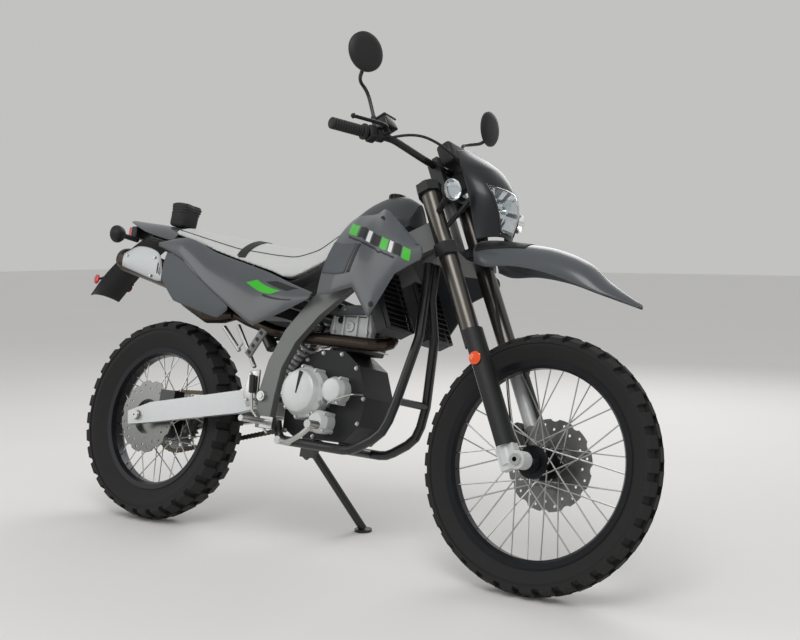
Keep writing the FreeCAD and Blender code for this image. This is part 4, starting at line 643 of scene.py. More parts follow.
settle("side_panels_upper", and_mirrored(skin(side_rows, 60, 14, RIGHT)), upright, [body_plastic],
       "chassis", ["side_panels"], wall=PANEL_WALL, rounding=EDGE_ROUND)
settle("side_panels_lower", and_mirrored(skin(lower_rows, 40, 14, RIGHT)), upright, [lower_plastic],
       "chassis", ["side_panels"], wall=PANEL_WALL, rounding=EDGE_ROUND)
tell()

# %% [markdown]
# The graphics are films of bright green, black and white on the grey mouldings. Each block is a
# strip of the panel's own surface, lifted by the film's thickness, so it bends as the panel does.
# Dark grained pads break up the grey where the knees are. A black film on the side panel is
# painted shade for a recess, and a black mark among the shroud's fasteners is painted shade for a slot.

# %% Films, pads and recesses
FILM = 0.0005
# Corners as shares along and across
SIDE_FILMS = [
    ("green", [(0.559, 0.632), (0.748, 0.555), (0.803, 0.645), (0.622, 0.774)], green_film),
    ("black", [(0.681, 0.799), (0.842, 0.664), (0.907, 0.863), (0.752, 0.888)], black_film),
    # Painted shade: black film where a recess of the panel lies in shade
    ("painted_recess_shade", [(0.690, 0.520), (0.882, 0.300), (0.890, 0.330), (0.703, 0.556)], black_film),
]
for name, corners, finish in SIDE_FILMS:
    settle("side_panel_" + name, and_mirrored(patch(side_rows, corners, FILM, RIGHT)), upright,
           [finish], "chassis")

# Each block's four corners as shares along and across the shroud, and its film
BAND_BLOCKS = [
    ((0.183, 0.704), (0.314, 0.581), (0.305, 0.741), (0.139, 0.891), green_film),
    ((0.333, 0.564), (0.423, 0.523), (0.424, 0.660), (0.325, 0.719), black_film),
    ((0.438, 0.531), (0.481, 0.561), (0.486, 0.690), (0.439, 0.666), white_film),
    ((0.495, 0.571), (0.588, 0.619), (0.604, 0.727), (0.503, 0.698), black_film),
    ((0.604, 0.619), (0.682, 0.549), (0.696, 0.666), (0.619, 0.722), green_film),
    ((0.695, 0.531), (0.733, 0.465), (0.747, 0.602), (0.710, 0.652), white_film),
    ((0.746, 0.440), (0.819, 0.284), (0.827, 0.491), (0.759, 0.583), black_film),
    ((0.830, 0.267), (0.906, 0.127), (0.906, 0.423), (0.838, 0.482), green_film),
]
for number, (*corners, finish) in enumerate(BAND_BLOCKS):
    settle(f"shroud_block_{number}", and_mirrored(patch(
        shroud_rows, corners, FILM, RIGHT, (14, 8))), upright, [finish], "chassis")
# The black line under the blocks, as shares along and across at its lower and upper edge
LINE_EDGES = [
    (0.220, 0.623, 0.206, 0.658), (0.322, 0.524, 0.312, 0.555), (0.408, 0.469, 0.402, 0.486),
    (0.480, 0.517, 0.474, 0.532), (0.556, 0.568, 0.551, 0.583), (0.633, 0.559, 0.629, 0.581),
    (0.702, 0.469, 0.699, 0.496), (0.768, 0.329, 0.765, 0.364),
]
line_parts = []
for start, end in zip(LINE_EDGES, LINE_EDGES[1:]):
    line_corners = [start[:2], end[:2], end[2:], start[2:]]
    line_parts.append((patch(shroud_rows, line_corners, FILM, RIGHT, (6, 3)), STAY, 0))
settle("shroud_line", and_mirrored(merged(line_parts)), upright, [black_film], "chassis")
# Name, corners, finish and how far it stands proud
KNEE_PIECES = [
    ("knee_pad", [(0.0, 0.25), (0.30, 0.17), (0.355, 0.47), (0.0, 0.64)], lower_plastic, 0.0012),
    ("knee_stripe", [(0.315, 0.17), (0.35, 0.165), (0.405, 0.455), (0.37, 0.465)], black_film, FILM),
]
for name, corners, finish, proud in KNEE_PIECES:
    settle("shroud_" + name, and_mirrored(patch(shroud_rows, corners, proud, RIGHT, (16, 12))),
           upright, [finish], "chassis", wall=0.001)
bung = turned([(0, 0), (0, 8), (1.2, 8), (2.4, 6), (2.4, 0)], 28)
bung.transform(facing(panel_point(shroud_rows, 0.61, 0.10) * 1000, (0, -1, -0.05)))
# The black mark is painted shade for a slot in the shroud
slot_shade_mark = block((26, 2.4, 9), 1.1)
slot_shade_mark.transform(Matrix.Translation(panel_point(shroud_rows, 0.60, 0.90)) @ tipped(30)
                    @ Matrix.Rotation(math.radians(-28), 4, "X"))
settle("shroud_bung_and_slot_shade", and_mirrored(merged([(bung, STAY, 0), (slot_shade_mark, STAY, 0)])), upright,
       [black_plastic], "chassis")
tell()

# %% [markdown]
# The tail, the mudguard under it and the front fender are blades that arch over their width.
# The fender turns with the fork, and a dark patch lies over its rear end, by the fork.

# %% Tail, mudguard and front fender
tail_rows = across([
    (9.7, 92, 936, 9.7, 989), (-30, 92, 940, -30, 994), (-124, 86, 962, -124, 1007),
    (-205, 66, 988, -205, 1016), (-284, 34, 1016, -288, 1026),
])
mudguard_rows = across([
    (-150, 60, 962, -150, 984), (-240, 66, 900, -262, 918),
    (-330, 70, 820, -352, 838), (-400, 66, 740, -420, 752),
])
fender_rows = across([
    (82.3, 70, 935.8, 93.6, 1011.8), (116.2, 78, 905.3, 145.9, 988.9),
    (195.2, 80, 868.9, 229.4, 936.8), (276.5, 78, 810.1, 307.1, 882.1),
    (346.1, 70, 743.8, 375.8, 809.5), (400, 54, 694, 416, 728.4),
    (462, 20, 634, 470, 640),
])
settle("tail_blade", skin(tail_rows, 36, 24, TOP), upright, [body_plastic], "chassis",
       ["tail_fender"], wall=PANEL_WALL, rounding=EDGE_ROUND)
settle("rear_mudguard", skin(mudguard_rows, 30, 20, TOP), upright, [black_plastic], "chassis",
       ["mudguard"], wall=PANEL_WALL, rounding=EDGE_ROUND)
settle("front_fender_blade", skin(fender_rows, 60, 30, TOP), steered, [body_plastic], "steering",
       ["front_fender"], wall=PANEL_WALL, rounding=EDGE_ROUND)
# A dark patch over the fender's rear end, by the fork
dark_patch_corners = [(0.03, 0.16), (0.36, 0.26), (0.36, 0.74), (0.03, 0.84)]
settle("fender_dark_patch", patch(fender_rows, dark_patch_corners, 0.0022, TOP, (20, 20)), steered,
       [black_plastic], "steering", wall=0.002, rounding=0.0006)
tell()

# %% [markdown]
# The lamp cowl is one dark moulding that arches over the lamp, with a window for it. The lamp is
# a bowl with a bright reflector set back in a black surround, under a clear domed lens.

# %% Cowl
cowl_rows = across([
    (129.1, 62, 1282.8, 149.7, 1285.8), (140.6, 92, 1212.1, 212.1, 1182.8),
    (141.3, 100, 1133.4, 223.5, 1074.1), (115.0, 84, 989.9, 170.0, 985.7),
], ease=(0.9, 0.9))
FORWARDS = Vector((1, 0, 0))
# Shares along at the top and foot of the lamp, then its half width as a share across
LAMP_TOP, LAMP_FOOT, LAMP_WIDE, LAMP_NARROW = 0.56, 0.965, 0.29, 0.15
settle("lamp_cowl", skin(cowl_rows, 100, 70, FORWARDS, [(LAMP_TOP, LAMP_FOOT, LAMP_WIDE, LAMP_NARROW)]),
       steered, [cowl_plastic], "steering", ["headlight_cowl"], wall=PANEL_WALL)
tell()

# %% Headlamp
lamp_corners = [
    (LAMP_TOP, 0.5 - LAMP_WIDE), (LAMP_FOOT, 0.5 - LAMP_NARROW),
    (LAMP_FOOT, 0.5 + LAMP_NARROW), (LAMP_TOP, 0.5 + LAMP_WIDE),
]
BOWL_DEPTH = 0.034
bowl = patch(cowl_rows, lamp_corners, -0.003, FORWARDS, (9, 10))
bowl_faces = bowl.faces[:]
for inward, back in ((0.004, 0), (0.009, -BOWL_DEPTH)):
    bowl_sides = bmesh.ops.inset_region(bowl, faces=bowl_faces, thickness=inward, depth=back,
                                        use_boundary=True)["faces"]
# Every fifth facet takes the darker chrome as a painted shade, and the facets' corners are set in
# and out so that each one catches another light
for number, face in enumerate(bowl_faces + bowl_sides):
    face.material_index = 2 if number % 5 == 2 else 1
FACET_DEPTH = 0.006
FACET_TURN = 2.4
facet_points = {vertex for face in bowl_faces for vertex in face.verts}
in_rows = sorted(facet_points, key=lambda vertex: (round(vertex.co.z, 3), vertex.co.y))
for index, vertex in enumerate(in_rows):
    vertex.co += FORWARDS * (FACET_DEPTH * math.sin(index * FACET_TURN))
settle("headlamp_bowl", bowl, steered, [gloss_black, chrome, painted_shade_chrome], "steering", ["headlight"],
       crisp=4)
settle("headlamp_lens", patch(cowl_rows, lamp_corners, 0.0008, FORWARDS, (24, 24)), steered,
       [clear_lens], "steering", wall=0.0016)
trim = []
for share in [step / 10 for step in range(11)]:
    half_width = LAMP_WIDE + (LAMP_NARROW - LAMP_WIDE) * share
    trim.append((LAMP_TOP + (LAMP_FOOT - LAMP_TOP) * share, 0.5 - half_width))
trim += [(along, 1 - over) for along, over in reversed(trim)]
seal = [panel_point(cowl_rows, along, over) * 1000 for along, over in trim + trim[:1]]
bent_rod("headlamp_seal", [tuple(point) for point in seal], 3.2, gloss_black, "steering", steered)
bulb = turned([(-30, 0), (-30, 9), (-14, 9), (-8, 6), (-6, 0)], 24)
bulb_place = (panel_point(cowl_rows, 0.72, 0.5) - FORWARDS * 0.018) * 1000
settle("headlamp_bulb_cap", bulb, steered @ facing(bulb_place, (0.89, 0, -0.45)), [chrome], "steering")
settle("headlamp_ears", merged([
    (rod((128, hand * 66, 1118), (46, hand * 98, 1060), 7), STAY, 0) for hand in (-1, 1)]),
    steered, [black_plastic], "steering", ["headlight"])
tell()

# %% [markdown]
# The tank is a rotomoulded plastic tank in matt dark grey, mostly hidden by the shrouds. Its
# dome carries a black cap with finger grips. The knee pads beside it are grained plastic.

# %% Tank and cap
# Distance forward, floor, shoulder, top, half width low, half width at the shoulder
tank_rows = [
    (745, 868, 985, 1032, 86, 70), (800, 884, 1000, 1068, 96, 90), (855, 912, 1008, 1088, 98, 92),
    (903, 956, 1012, 1084, 84, 80), (945, 988, 1016, 1062, 44, 40),
]
CAP_PLACE = (854, 0, 1078)
CAP_RADIUS = 27
cap = turned([(0, 0), (0, CAP_RADIUS), (12, CAP_RADIUS), (15, CAP_RADIUS - 3), (18, 12), (18, 0)], 48)
grips = [face for face in cap.faces if abs(face.normal.x) < 0.1]
grips = [face for index, face in enumerate(sorted(grips, key=lambda face: math.atan2(
    face.calc_center_median().y, face.calc_center_median().z))) if index % 4 < 2]
bmesh.ops.inset_individual(cap, faces=grips, thickness=0.0006, depth=-0.002)
settle("fuel_tank_dome", arched_body(tank_rows, 40, 56), upright, [tank_plastic], "chassis",
       ["fuel_tank"], crisp=50)
settle("fuel_cap", cap, upright @ facing(CAP_PLACE, TOP), [black_plastic], "chassis",
       ["fuel_tank"])
tell()

# %% [markdown]
# Padded pieces are blown up by a cloth simulation: the closed form is remeshed evenly, its base
# is held, and pressure rounds it like foam under a stretched cover. The cover may move only a
# few millimetres, so the pad keeps the size of its engineering solid.

# %% Padded forms by cloth
CLOTH_QUALITY = 4
PRESSURE = 4
CLOTH_FRAMES = 20


def even_mesh(piece):
    """The mesh of a piece with its modifiers applied."""
    bpy.context.view_layer.update()
    return bpy.data.meshes.new_from_object(piece.evaluated_get(bpy.context.evaluated_depsgraph_get()))


def stuffed(mesh, voxel, most, held):
    """A closed form blown up from inside. The points that held names don't move."""
    data = bpy.data.meshes.new("pad")
    mesh.to_mesh(data)
    mesh.free()
    pad = bpy.data.objects.new("pad", data)
    scene.collection.objects.link(pad)
    even = pad.modifiers.new("even", "REMESH")
    even.mode = "VOXEL"
    even.voxel_size = voxel
    pad.data = even_mesh(pad)
    pad.modifiers.clear()
    rest = [vertex.co.copy() for vertex in pad.data.vertices]
    pins = pad.vertex_groups.new(name="held")
    pins.add([index for index, point in enumerate(rest) if held(point)], 1.0, "REPLACE")
    cloth = pad.modifiers.new("cover", "CLOTH")
    cloth.settings.quality = CLOTH_QUALITY
    cloth.settings.use_pressure = True
    cloth.settings.uniform_pressure_force = PRESSURE
    cloth.settings.effector_weights.gravity = 0
    cloth.settings.vertex_group_mass = "held"
    cloth.collision_settings.use_collision = False
    for step in range(1, CLOTH_FRAMES + 1):
        scene.frame_set(step)
    blown = even_mesh(pad)
    for vertex, start in zip(blown.vertices, rest):
        move = vertex.co - start
        if move.length > most:
            vertex.co = start + move.normalized() * most
    pad.data = blown
    pad.modifiers.clear()
    scene.frame_set(1)
    print("cloth points:", len(rest))
    result = bmesh.new()
    result.from_mesh(pad.data)
    bmesh.ops.smooth_vert(result, verts=result.verts[:], factor=0.5, use_axis_x=True,
                          use_axis_y=True, use_axis_z=True)
    bpy.data.objects.remove(pad)
    return result


# %% [markdown]
# The seat is one long foam pad under grained vinyl, with a black strap for the passenger and a
# thin piping where its side meets its top. The strap is a band cut from the pad's own skin and
# lifted off it, so it follows every bulge, and the piping is found by probing the pad's sides.

# %% Seat
# Distance forward, floor, shoulder, top, half width low, half width at the shoulder
seat_rows = [
    (10, 957, 975, 996, 84, 76), (160, 914, 940, 966, 106, 94), (316, 872, 905, 947, 112, 94),
    (480, 832, 885, 926, 112, 92), (560, 812, 880, 929, 108, 86), (640, 846, 905, 975, 98, 72),
    (700, 882, 950, 1018, 88, 62), (744, 915, 985, 1034, 80, 54),
]
CLOSE_TO_FLOOR = 0.005
STRAP_NEAR, STRAP_FAR, STRAP_PROUD = 0.332, 0.368, 0.0022
SEAM_PLACES = range(20, 735, 22)
BESIDE_THE_SEAT = 0.3


def over_floor(rows, point):
    """How far a point stands over the floor of an arched body, in metres."""
    pairs = list(zip(rows, rows[1:]))
    near, far = next((pair for pair in pairs if point.x * 1000 < pair[1][0]), pairs[-1])
    share = (point.x * 1000 - near[0]) / (far[0] - near[0])
    return point.z - (near[1] + (far[1] - near[1]) * share) / 1000


def wrapped_band(pad, rows, near, far, proud):
    """A band of a pad's own skin between two distances forward, raised off it."""
    band = pad.copy()
    for place, side in ((near, -1), (far, 1)):
        bmesh.ops.bisect_plane(band, geom=band.verts[:] + band.edges[:] + band.faces[:],
                               plane_co=(place, 0, 0), plane_no=(side, 0, 0), clear_outer=True)
    gone = [face for face in band.faces
            if over_floor(rows, face.calc_center_median()) < CLOSE_TO_FLOOR * 2]
    bmesh.ops.delete(band, geom=gone, context="FACES")
    band.normal_update()
    raised = [(vertex, vertex.co + vertex.normal * proud) for vertex in band.verts]
    for vertex, place in raised:
        vertex.co = place
    return band


seat_pad = stuffed(arched_body(seat_rows, 90, 64), voxel=0.006, most=0.007,
                   held=lambda point: over_floor(seat_rows, point) < CLOSE_TO_FLOOR)
strap = wrapped_band(seat_pad, seat_rows, STRAP_NEAR, STRAP_FAR, STRAP_PROUD)
seat_probe = BVHTree.FromBMesh(seat_pad)
for hand in (-1, 1):
    seam = []
    for x in SEAM_PLACES:
        near, far = next(pair for pair in zip(seat_rows, seat_rows[1:]) if x <= pair[1][0])
        share = (x - near[0]) / (far[0] - near[0])
        shoulder = near[2] + (far[2] - near[2]) * share
        start = Vector((x / 1000, hand * BESIDE_THE_SEAT, shoulder / 1000))
        hit = seat_probe.ray_cast(start, Vector((0, -hand, 0)))[0]
        if hit:
            seam.append(tuple(hit * 1000))
    bent_rod("seat_piping_right" if hand < 0 else "seat_piping_left", seam, 1.8, strap_vinyl,
             "chassis", upright)
seat = settle("seat_pad", seat_pad, upright, [seat_vinyl], "chassis", ["seat"],
              crisp=60, levels=1)
settle("seat_strap", strap, upright, [strap_vinyl], "chassis", wall=STRAP_PROUD)
tell()

# %% [markdown]
# A black tray closes the space under the seat, so no daylight shows between it and the panels.

# %% Under-seat tray
# Down from the seat's floor to the tray's own, to its shoulder, and up to its crown
TRAY_DEPTH, TRAY_SHOULDER, TRAY_CROWN = 46, 12, 5
TRAY_HALF, TRAY_WIDEST = 88, 104
tray_rows = [(x, floor - TRAY_DEPTH, floor - TRAY_SHOULDER, floor + TRAY_CROWN, TRAY_HALF,
              min(low, TRAY_WIDEST)) for x, floor, _, _, low, _ in seat_rows[:-1]]
settle("under_seat_tray", arched_body(tray_rows, 40, 24), upright, [black_plastic], "chassis",
       crisp=50)
tell()

# %% [markdown]
# The small tool pouch on the tail is woven fabric over soft padding, a little wider at its top,
# and pressed into ribs that run round its upper part.

# %% Tail pouch
POUCH_MIDDLE = (-0.054, 0, 1.040)
RIB_PITCH = 0.0095
RIB_HEIGHT = 0.0016
RIBS_ABOVE = 1.046
HELD_BELOW = 1.006
# How much the pouch widens for each metre up, along and across
FLARE_ALONG, FLARE_ACROSS = 2.2, 1.6
pouch_form = block((72, 78, 84), 11, 5)
for vertex in pouch_form.verts:
    vertex.co.x *= 1 + vertex.co.z * FLARE_ALONG
    vertex.co.y *= 1 + vertex.co.z * FLARE_ACROSS
pouch_form.transform(Matrix.Translation(POUCH_MIDDLE) @ tipped(6))
pouch_pad = stuffed(pouch_form, voxel=0.0028, most=0.003, held=lambda point: point.z < HELD_BELOW)
pouch_pad.normal_update()
ribbed = []
for vertex in pouch_pad.verts:
    if vertex.co.z > RIBS_ABOVE:
        height = RIB_HEIGHT * math.sin((vertex.co.z - RIBS_ABOVE) / RIB_PITCH * 2 * math.pi)
        ribbed.append((vertex, vertex.co + vertex.normal * height))
for vertex, place in ribbed:
    vertex.co = place
pouch = settle("tail_pouch_pad", pouch_pad, upright, [pouch_fabric], "chassis", ["tail_pouch"],
               crisp=60, levels=1)
tell()

# %% [markdown]
# The mirrors are round black shells with the glass let into the back, each on a bent steel stem
# that screws into the lever's clamp.

# %% Mirrors
MIRROR_PLACE = (925.1, -340, 1410)
GLASS_RADIUS = 0.053
mirror = turned([(2, 0), (2, 53), (0, 55), (0, 57), (6, 57), (12, 51), (15.4, 36), (16, 0)], 56)
for face in mirror.faces:
    centre = face.calc_center_median()
    if centre.x < 0.003 and Vector((centre.y, centre.z)).length < GLASS_RADIUS:
        face.material_index = 1
# Each mirror's hand, and the way that its shell faces: the rider sets each for the road behind
for name, hand, way in (("right", 1, (0.95, -0.31, 0.05)), ("left", -1, (1, 0.05, 0.05))):
    shell = mirror.copy()
    place = (MIRROR_PLACE[0], MIRROR_PLACE[1] * hand, MIRROR_PLACE[2])
    settle("mirror_shell_" + name, shell, upright @ facing(place, way), [black_plastic, mirror_glass],
           "steering", ["mirrors"])
    path = [(926.2, -247.9, 1226), (906, -247.9, 1275), (884, -255, 1330), (884, -300, 1346),
            (925, -338, 1362), (930, -340, 1404)]
    bent_rod("mirror_stem_" + name, [(x, y * hand, z) for x, y, z in path], 5.6, black_enamel,
             "steering", upright, ["mirrors"])
nuts = turned([(0, 0), (0, 10), (26, 10), (34, 7), (34, 0)], 6)
nuts.transform(facing((928, -247.9, 1224), (-0.4493, 0, 0.8934)))
settle("mirror_nuts", and_mirrored(nuts), upright, [black_enamel], "steering", ["mirrors"])
tell()

# %% [markdown]
# Grips are moulded rubber with raised rings and a flange that stops the thumb. Inboard of each
# are the switch housing, the lever in its clamp and, on the right, the brake fluid box.

# %% Grips
BAR_TIP = Vector((-50, -405, 1352))
BAR_ELBOW = Vector((14, -202.5, 1335))
bar_way = (BAR_ELBOW - BAR_TIP).normalized()


def on_bar(distance, ahead=0, up=0):
    """A point on the right end of the bar, measured from its tip in millimetres."""
    return BAR_TIP + bar_way * distance + Vector((ahead, 0, up))


rings = [(0, 0), (0, 13), (2, 15.5)]
for ring in range(12):
    foot = 5 + 8.4 * ring
    rings += [(foot, 16.5), (foot + 4.4, 16.5), (foot + 5.2, 15.3), (foot + 7.6, 15.3)]
rings += [(108, 16.5), (109, 23), (114, 23), (116, 18), (118, 12)]
grip = turned(rings, 40)
grip.transform(facing(on_bar(0), bar_way))
settle("grip_rubbers", and_mirrored(grip), steered, [grip_rubber], "steering", ["grips"],
       crisp=60)
tell()

# %% Switches, clamps and levers
pods = merged([
    (block((30, 38, 42), 8, 4), facing(on_bar(134, 2, -3), bar_way), 0),
    (block((9, 10, 10), 2), facing(on_bar(132, -19, 6), bar_way), 1),
    (block((12, 8, 5), 1.5), facing(on_bar(138, -19, -8), bar_way), 1),
    boss([(0, 0), (0, 17), (2, 18.5), (22, 18.5), (24, 17), (24, 0)], on_bar(152), 32, 0, bar_way),
    (block((30, 16, 20), 4), facing(on_bar(164, 22, 0), (1, 0.2, 0)), 0),
])
settle("switch_housings", and_mirrored(pods), steered, [black_plastic, grip_rubber], "steering",
       ["hand_controls"])
LID_SCREW = [(0, 0), (0, 3.4), (1.5, 3), (1.5, 0)]
fluid_box = merged([
    (block((40, 56, 34), 5), at(on_bar(176, 22, 26)), 0),
    (block((42, 58, 7), 2.5), at(on_bar(176, 22, 45)), 1),
    boss(LID_SCREW, on_bar(157, 22, 48.5), 16, 2, TOP),
    boss(LID_SCREW, on_bar(195, 22, 48.5), 16, 2, TOP),
])
settle("brake_fluid_box", fluid_box, steered, [black_enamel, black_plastic, bright_steel], "steering",
       ["hand_controls"])
for name, hand in (("right", 1), ("left", -1)):
    lever = [on_bar(166, 18), on_bar(150, 46, -2), on_bar(126, 56, -4), on_bar(70, 58, -6),
             on_bar(20, 60, -8)]
    bent_rod("lever_" + name, [(point.x, point.y * hand, point.z) for point in lever], 5.4,
             lever_alloy, "steering", steered, ["hand_controls"])
ball = turned([(-8, 0), (-6, 5), (0, 8), (6, 5), (8, 0)], 20)
ball.transform(facing(on_bar(18, 60, -8), bar_way))
settle("lever_balls", and_mirrored(ball), steered, [lever_alloy], "steering", ["hand_controls"])
tell()

# %% [markdown]
# The gauge is a small box of instruments ahead of the bar, tilted to the rider, with a dark
# window set into its back.

# %% Gauge
gauge = block((50, 120, 70), 12, 5)
gauge.normal_update()
window_face = max(gauge.faces, key=lambda face: -face.normal.x * face.calc_area())
for inward, back in ((0.003, 0.0), (0.002, -0.003)):
    bmesh.ops.inset_region(gauge, faces=[window_face], thickness=inward, depth=back)
window_face.material_index = 1
arm = block((60, 30, 60), 4)
settle("gauge_housing", merged([
    (gauge, at((89, 0, 1299)), 0), (arm, at((80, 0, 1215)), 0),
]), steered, [black_plastic, screen_glass], "steering", ["gauge"])
tell()

# %% [markdown]
# The turn signals are round clear lenses over a silvered bowl in dark cups, on rubber stems.
# The tail lamp is a red lens on a black base under the tail.

# %% Signals and tail lamp
# Faces beyond these depths belong to a signal's bowl, a fork reflector and a rear reflector
BOWL_FACE, FORK_LENS_FACE, REAR_LENS_FACE = 0.0039, 0.0041, -0.0755
FRONT_SIGNAL = (1169.8, -185, 1050.5)
REAR_SIGNAL = (-208, -150, 942)
CUP = [(4, 0), (4, 24), (7, 28), (7, 30), (1, 30), (-12, 25), (-20, 15), (-22, 8), (-22, 0)]
LENS = [(5.5, 0), (5.5, 27), (9, 27.6), (15, 24), (20, 14), (22, 0)]


def signal_parts(place, direction):
    """A cup with a silvered bowl, and its lens."""
    cup = turned(CUP, 40)
    for face in cup.faces:
        in_bowl = face.calc_center_median().x > BOWL_FACE and face.normal.x > 0.3
        face.material_index = 2 if in_bowl else 0
    return [(cup, facing(place, direction), 0), (turned(LENS, 40), facing(place, direction), 1)]


settle("front_signal_lamps", and_mirrored(merged(signal_parts(FRONT_SIGNAL, (0.94, -0.34, 0)))), upright,
       [black_plastic, clear_lens, chrome], "steering", ["front_signals"])
settle("front_signal_stems", and_mirrored(rod((44, -113, 1108), (122, -176, 1108), 9)), steered,
       [grip_rubber], "steering", ["front_signals"])
settle("rear_signal_lamps", and_mirrored(merged(signal_parts(REAR_SIGNAL, (-1, 0, 0)))), upright,
       [black_plastic, clear_lens, chrome], "chassis", ["rear_lamps"])
settle("rear_signal_stems", and_mirrored(rod((-208, -58, 942), (-208, -128, 942), 9)), upright,
       [grip_rubber], "chassis", ["rear_lamps"])
tail_lamp = merged([
    (block((30, 84, 40), 5), at((-257, 0, 978)), 0),
    (block((22, 80, 36), 6, 4), at((-277, 0, 978)), 1),
    (rod((-262, 0, 990), (-262, 0, 1017), 12), STAY, 0),
])
settle("tail_lamp", tail_lamp, upright, [black_plastic, red_lens], "chassis", ["rear_lamps"])
reflectors = turned([(0, 0), (0, 18), (4, 18), (6, 15), (6.6, 0)], 32)
for face in reflectors.faces:
    face.material_index = 1 if face.calc_center_median().x > FORK_LENS_FACE else 0
reflectors.transform(facing((1285, -133.5, 600), RIGHT))
settle("fork_reflectors", and_mirrored(reflectors), upright, [black_plastic, orange_lens],
       "steering")
side_lens = merged([
    boss([(0, 0), (0, 17), (4, 17), (6, 14), (6.6, 0)], (-371, -72, 796), 28, 0, (-0.25, -1, 0)),
    (rod((-371, -70, 796), (-338, -66, 806), 4), STAY, 0),
])
for face in side_lens.faces:
    face.material_index = 1 if face.calc_center_median().y < REAR_LENS_FACE else 0
settle("rear_side_reflectors", and_mirrored(side_lens), upright, [black_plastic, red_lens],
       "chassis")
tell()

# %% [markdown]
# The rear shock is a damper inside a painted coil spring. The coil is a circle of wire spun
# about the damper's axis while it climbs. Its gas reservoir hangs beside it.

# %% Rear shock
SHOCK_FOOT = Vector((462, 0, 463.3))
SHOCK_TOP = Vector((640, 0, 672))
shock_way = SHOCK_TOP - SHOCK_FOOT
COIL_FOOT = 52
COIL_LENGTH = 152
COIL_TURNS = 8
COIL_STEPS = 24
COIL_RADIUS = 0.0258
WIRE_RADIUS = 0.0052
coil = bmesh.new()
bmesh.ops.create_circle(coil, segments=10, radius=WIRE_RADIUS)
bmesh.ops.translate(coil, vec=(COIL_FOOT / 1000, COIL_RADIUS, 0), verts=coil.verts[:])
bmesh.ops.spin(coil, geom=coil.verts[:] + coil.edges[:], cent=(0, 0, 0), axis=(1, 0, 0),
               dvec=(COIL_LENGTH / 1000 / COIL_TURNS / COIL_STEPS, 0, 0),
               angle=2 * math.pi * COIL_TURNS, steps=COIL_TURNS * COIL_STEPS)
bmesh.ops.holes_fill(coil, edges=[edge for edge in coil.edges if edge.is_boundary], sides=0)
bmesh.ops.recalc_face_normals(coil, faces=coil.faces[:])
damper = turned([(0, 0), (0, 12), (44, 12), (44, 30), (51, 30), (51, 14), (130, 14), (130, 20),
                 (208, 20), (208, 31), (216, 31), (218, 24), (262, 24), (274, 16), (274, 0)], 36)
settle("shock_spring_coil", coil, upright @ facing(SHOCK_FOOT, shock_way), [spring_paint],
       "chassis", ["rear_shock"], crisp=80)
settle("shock_damper", merged([
    (damper, facing(SHOCK_FOOT, shock_way), 0),
    boss([(0, 0), (0, 15), (34, 15), (34, 0)], SHOCK_FOOT + RIGHT * 17, 28, 1, LEFT),
    boss([(0, 13), (0, 21), (34, 21), (34, 13)], SHOCK_TOP + RIGHT * 17, 28, 1, LEFT),
    boss([(0, 0), (0, 17), (4, 20), (58, 20), (64, 14), (64, 0)], (462, -62, 640), 32, 1, (43, 0, -50)),
    (rod((480, -56, 622), (596, -14, 640), 5), STAY, 1),
]), upright, [bright_steel, black_enamel], "chassis", ["rear_shock"])
tell()

# %% [markdown]
# Each radiator hides behind a moulded guard whose slats throw the air inwards.

# %% Radiator guards
SLATS = 10
LOWEST_SLAT = 852
SLAT_PITCH = 17.5
slats = []
for slat in range(SLATS):
    middle = (-178.5, -104.5, LOWEST_SLAT + slat * SLAT_PITCH)
    slats.append((block((15, 112, 2.4), 0.8, 2), at(middle) @ tipped(35), 0))
for side_bar in (-46.5, -162.5):
    slats.append((block((12, 5, 190), 1.5), at((-180, side_bar, 931.5)), 0))
for end_bar in (839, 1024):
    slats.append((block((12, 120, 5), 1.5), at((-180, -104.5, end_bar)), 0))
settle("radiator_guards", and_mirrored(merged(slats)), steered, [black_plastic], "chassis")
tell()

# %% [markdown]
# The engine leans forward in the frame. Its barrel is painted black, the head above it is a
# bright casting with ribs, and a grey cover closes the camshafts. They stand for one node. The
# outlines are plates with rounded edges, and the ribs and bosses are smaller ones on its flank.

# %% Barrel, head and cam cover
barrel = plate([(730, 600), (846, 600), (860, 640), (724, 640)], -52, 52, 4)
head_casting = plate([(724, 634), (868, 630), (874, 668), (862, 716), (720, 708), (712, 664)],
                     -60, 60, 5)
cam_cover = plate([(724, 704), (860, 712), (842, 742), (834, 746), (746, 744), (738, 740)], -50, 50, 7)
flank = []
for forward, low, high in ((732, 640, 706), (768, 636, 706), (818, 634, 710), (856, 636, 712)):
    rib = [(forward - 5, low), (forward + 5, low), (forward + 3, high), (forward - 3, high)]
    flank.append((plate(rib, -66, -58, 2), STAY, 1))
flank += [
    boss([(0, 0), (0, 17), (5, 15), (5, 9), (1, 8), (1, 0)], (793, -60, 676), 32, 1),
    (plate([(716, 634), (742, 634), (742, 644), (716, 648)], -68, -52, 3), STAY, 1),
    (block((120, 3, 3), 1), at((790, -60.5, 706)), 0),
    (plate([(724, 612), (860, 612), (862, 616), (722, 616)], -55, 55, 1), STAY, 1),
    boss([(0, 0), (0, 10), (8, 10), (8, 0)], (756, -58, 694), 20),
]
engine_top = merged([(barrel, STAY, 0), (head_casting, STAY, 1), (cam_cover, STAY, 2)] + flank)
settle("cylinder_and_head", engine_top, upright, [black_casting, cast_alloy, grey_casting], "chassis",
       ["cylinder"], crisp=32)
settle("fuel_system_bracket", merged([
    (plate([(640, 612), (716, 622), (716, 632), (640, 626)], -74, -60, 3), STAY, 1),
    (plate([(690, 604), (722, 610), (722, 618), (690, 616)], -70, -50, 3), STAY, 1),
    boss([(0, 0), (0, 17), (46, 17), (46, 0)], (664, -30, 640), 32, 0, (0.9, 0, 0.1)),
]), upright, [black_casting, cast_alloy], "chassis")
tell()

# %% [markdown]
# The engine's side covers are held by rings of small flanged bolts, one on each cast boss, and
# the case by larger ones near its corners. They give the plain castings their scale.

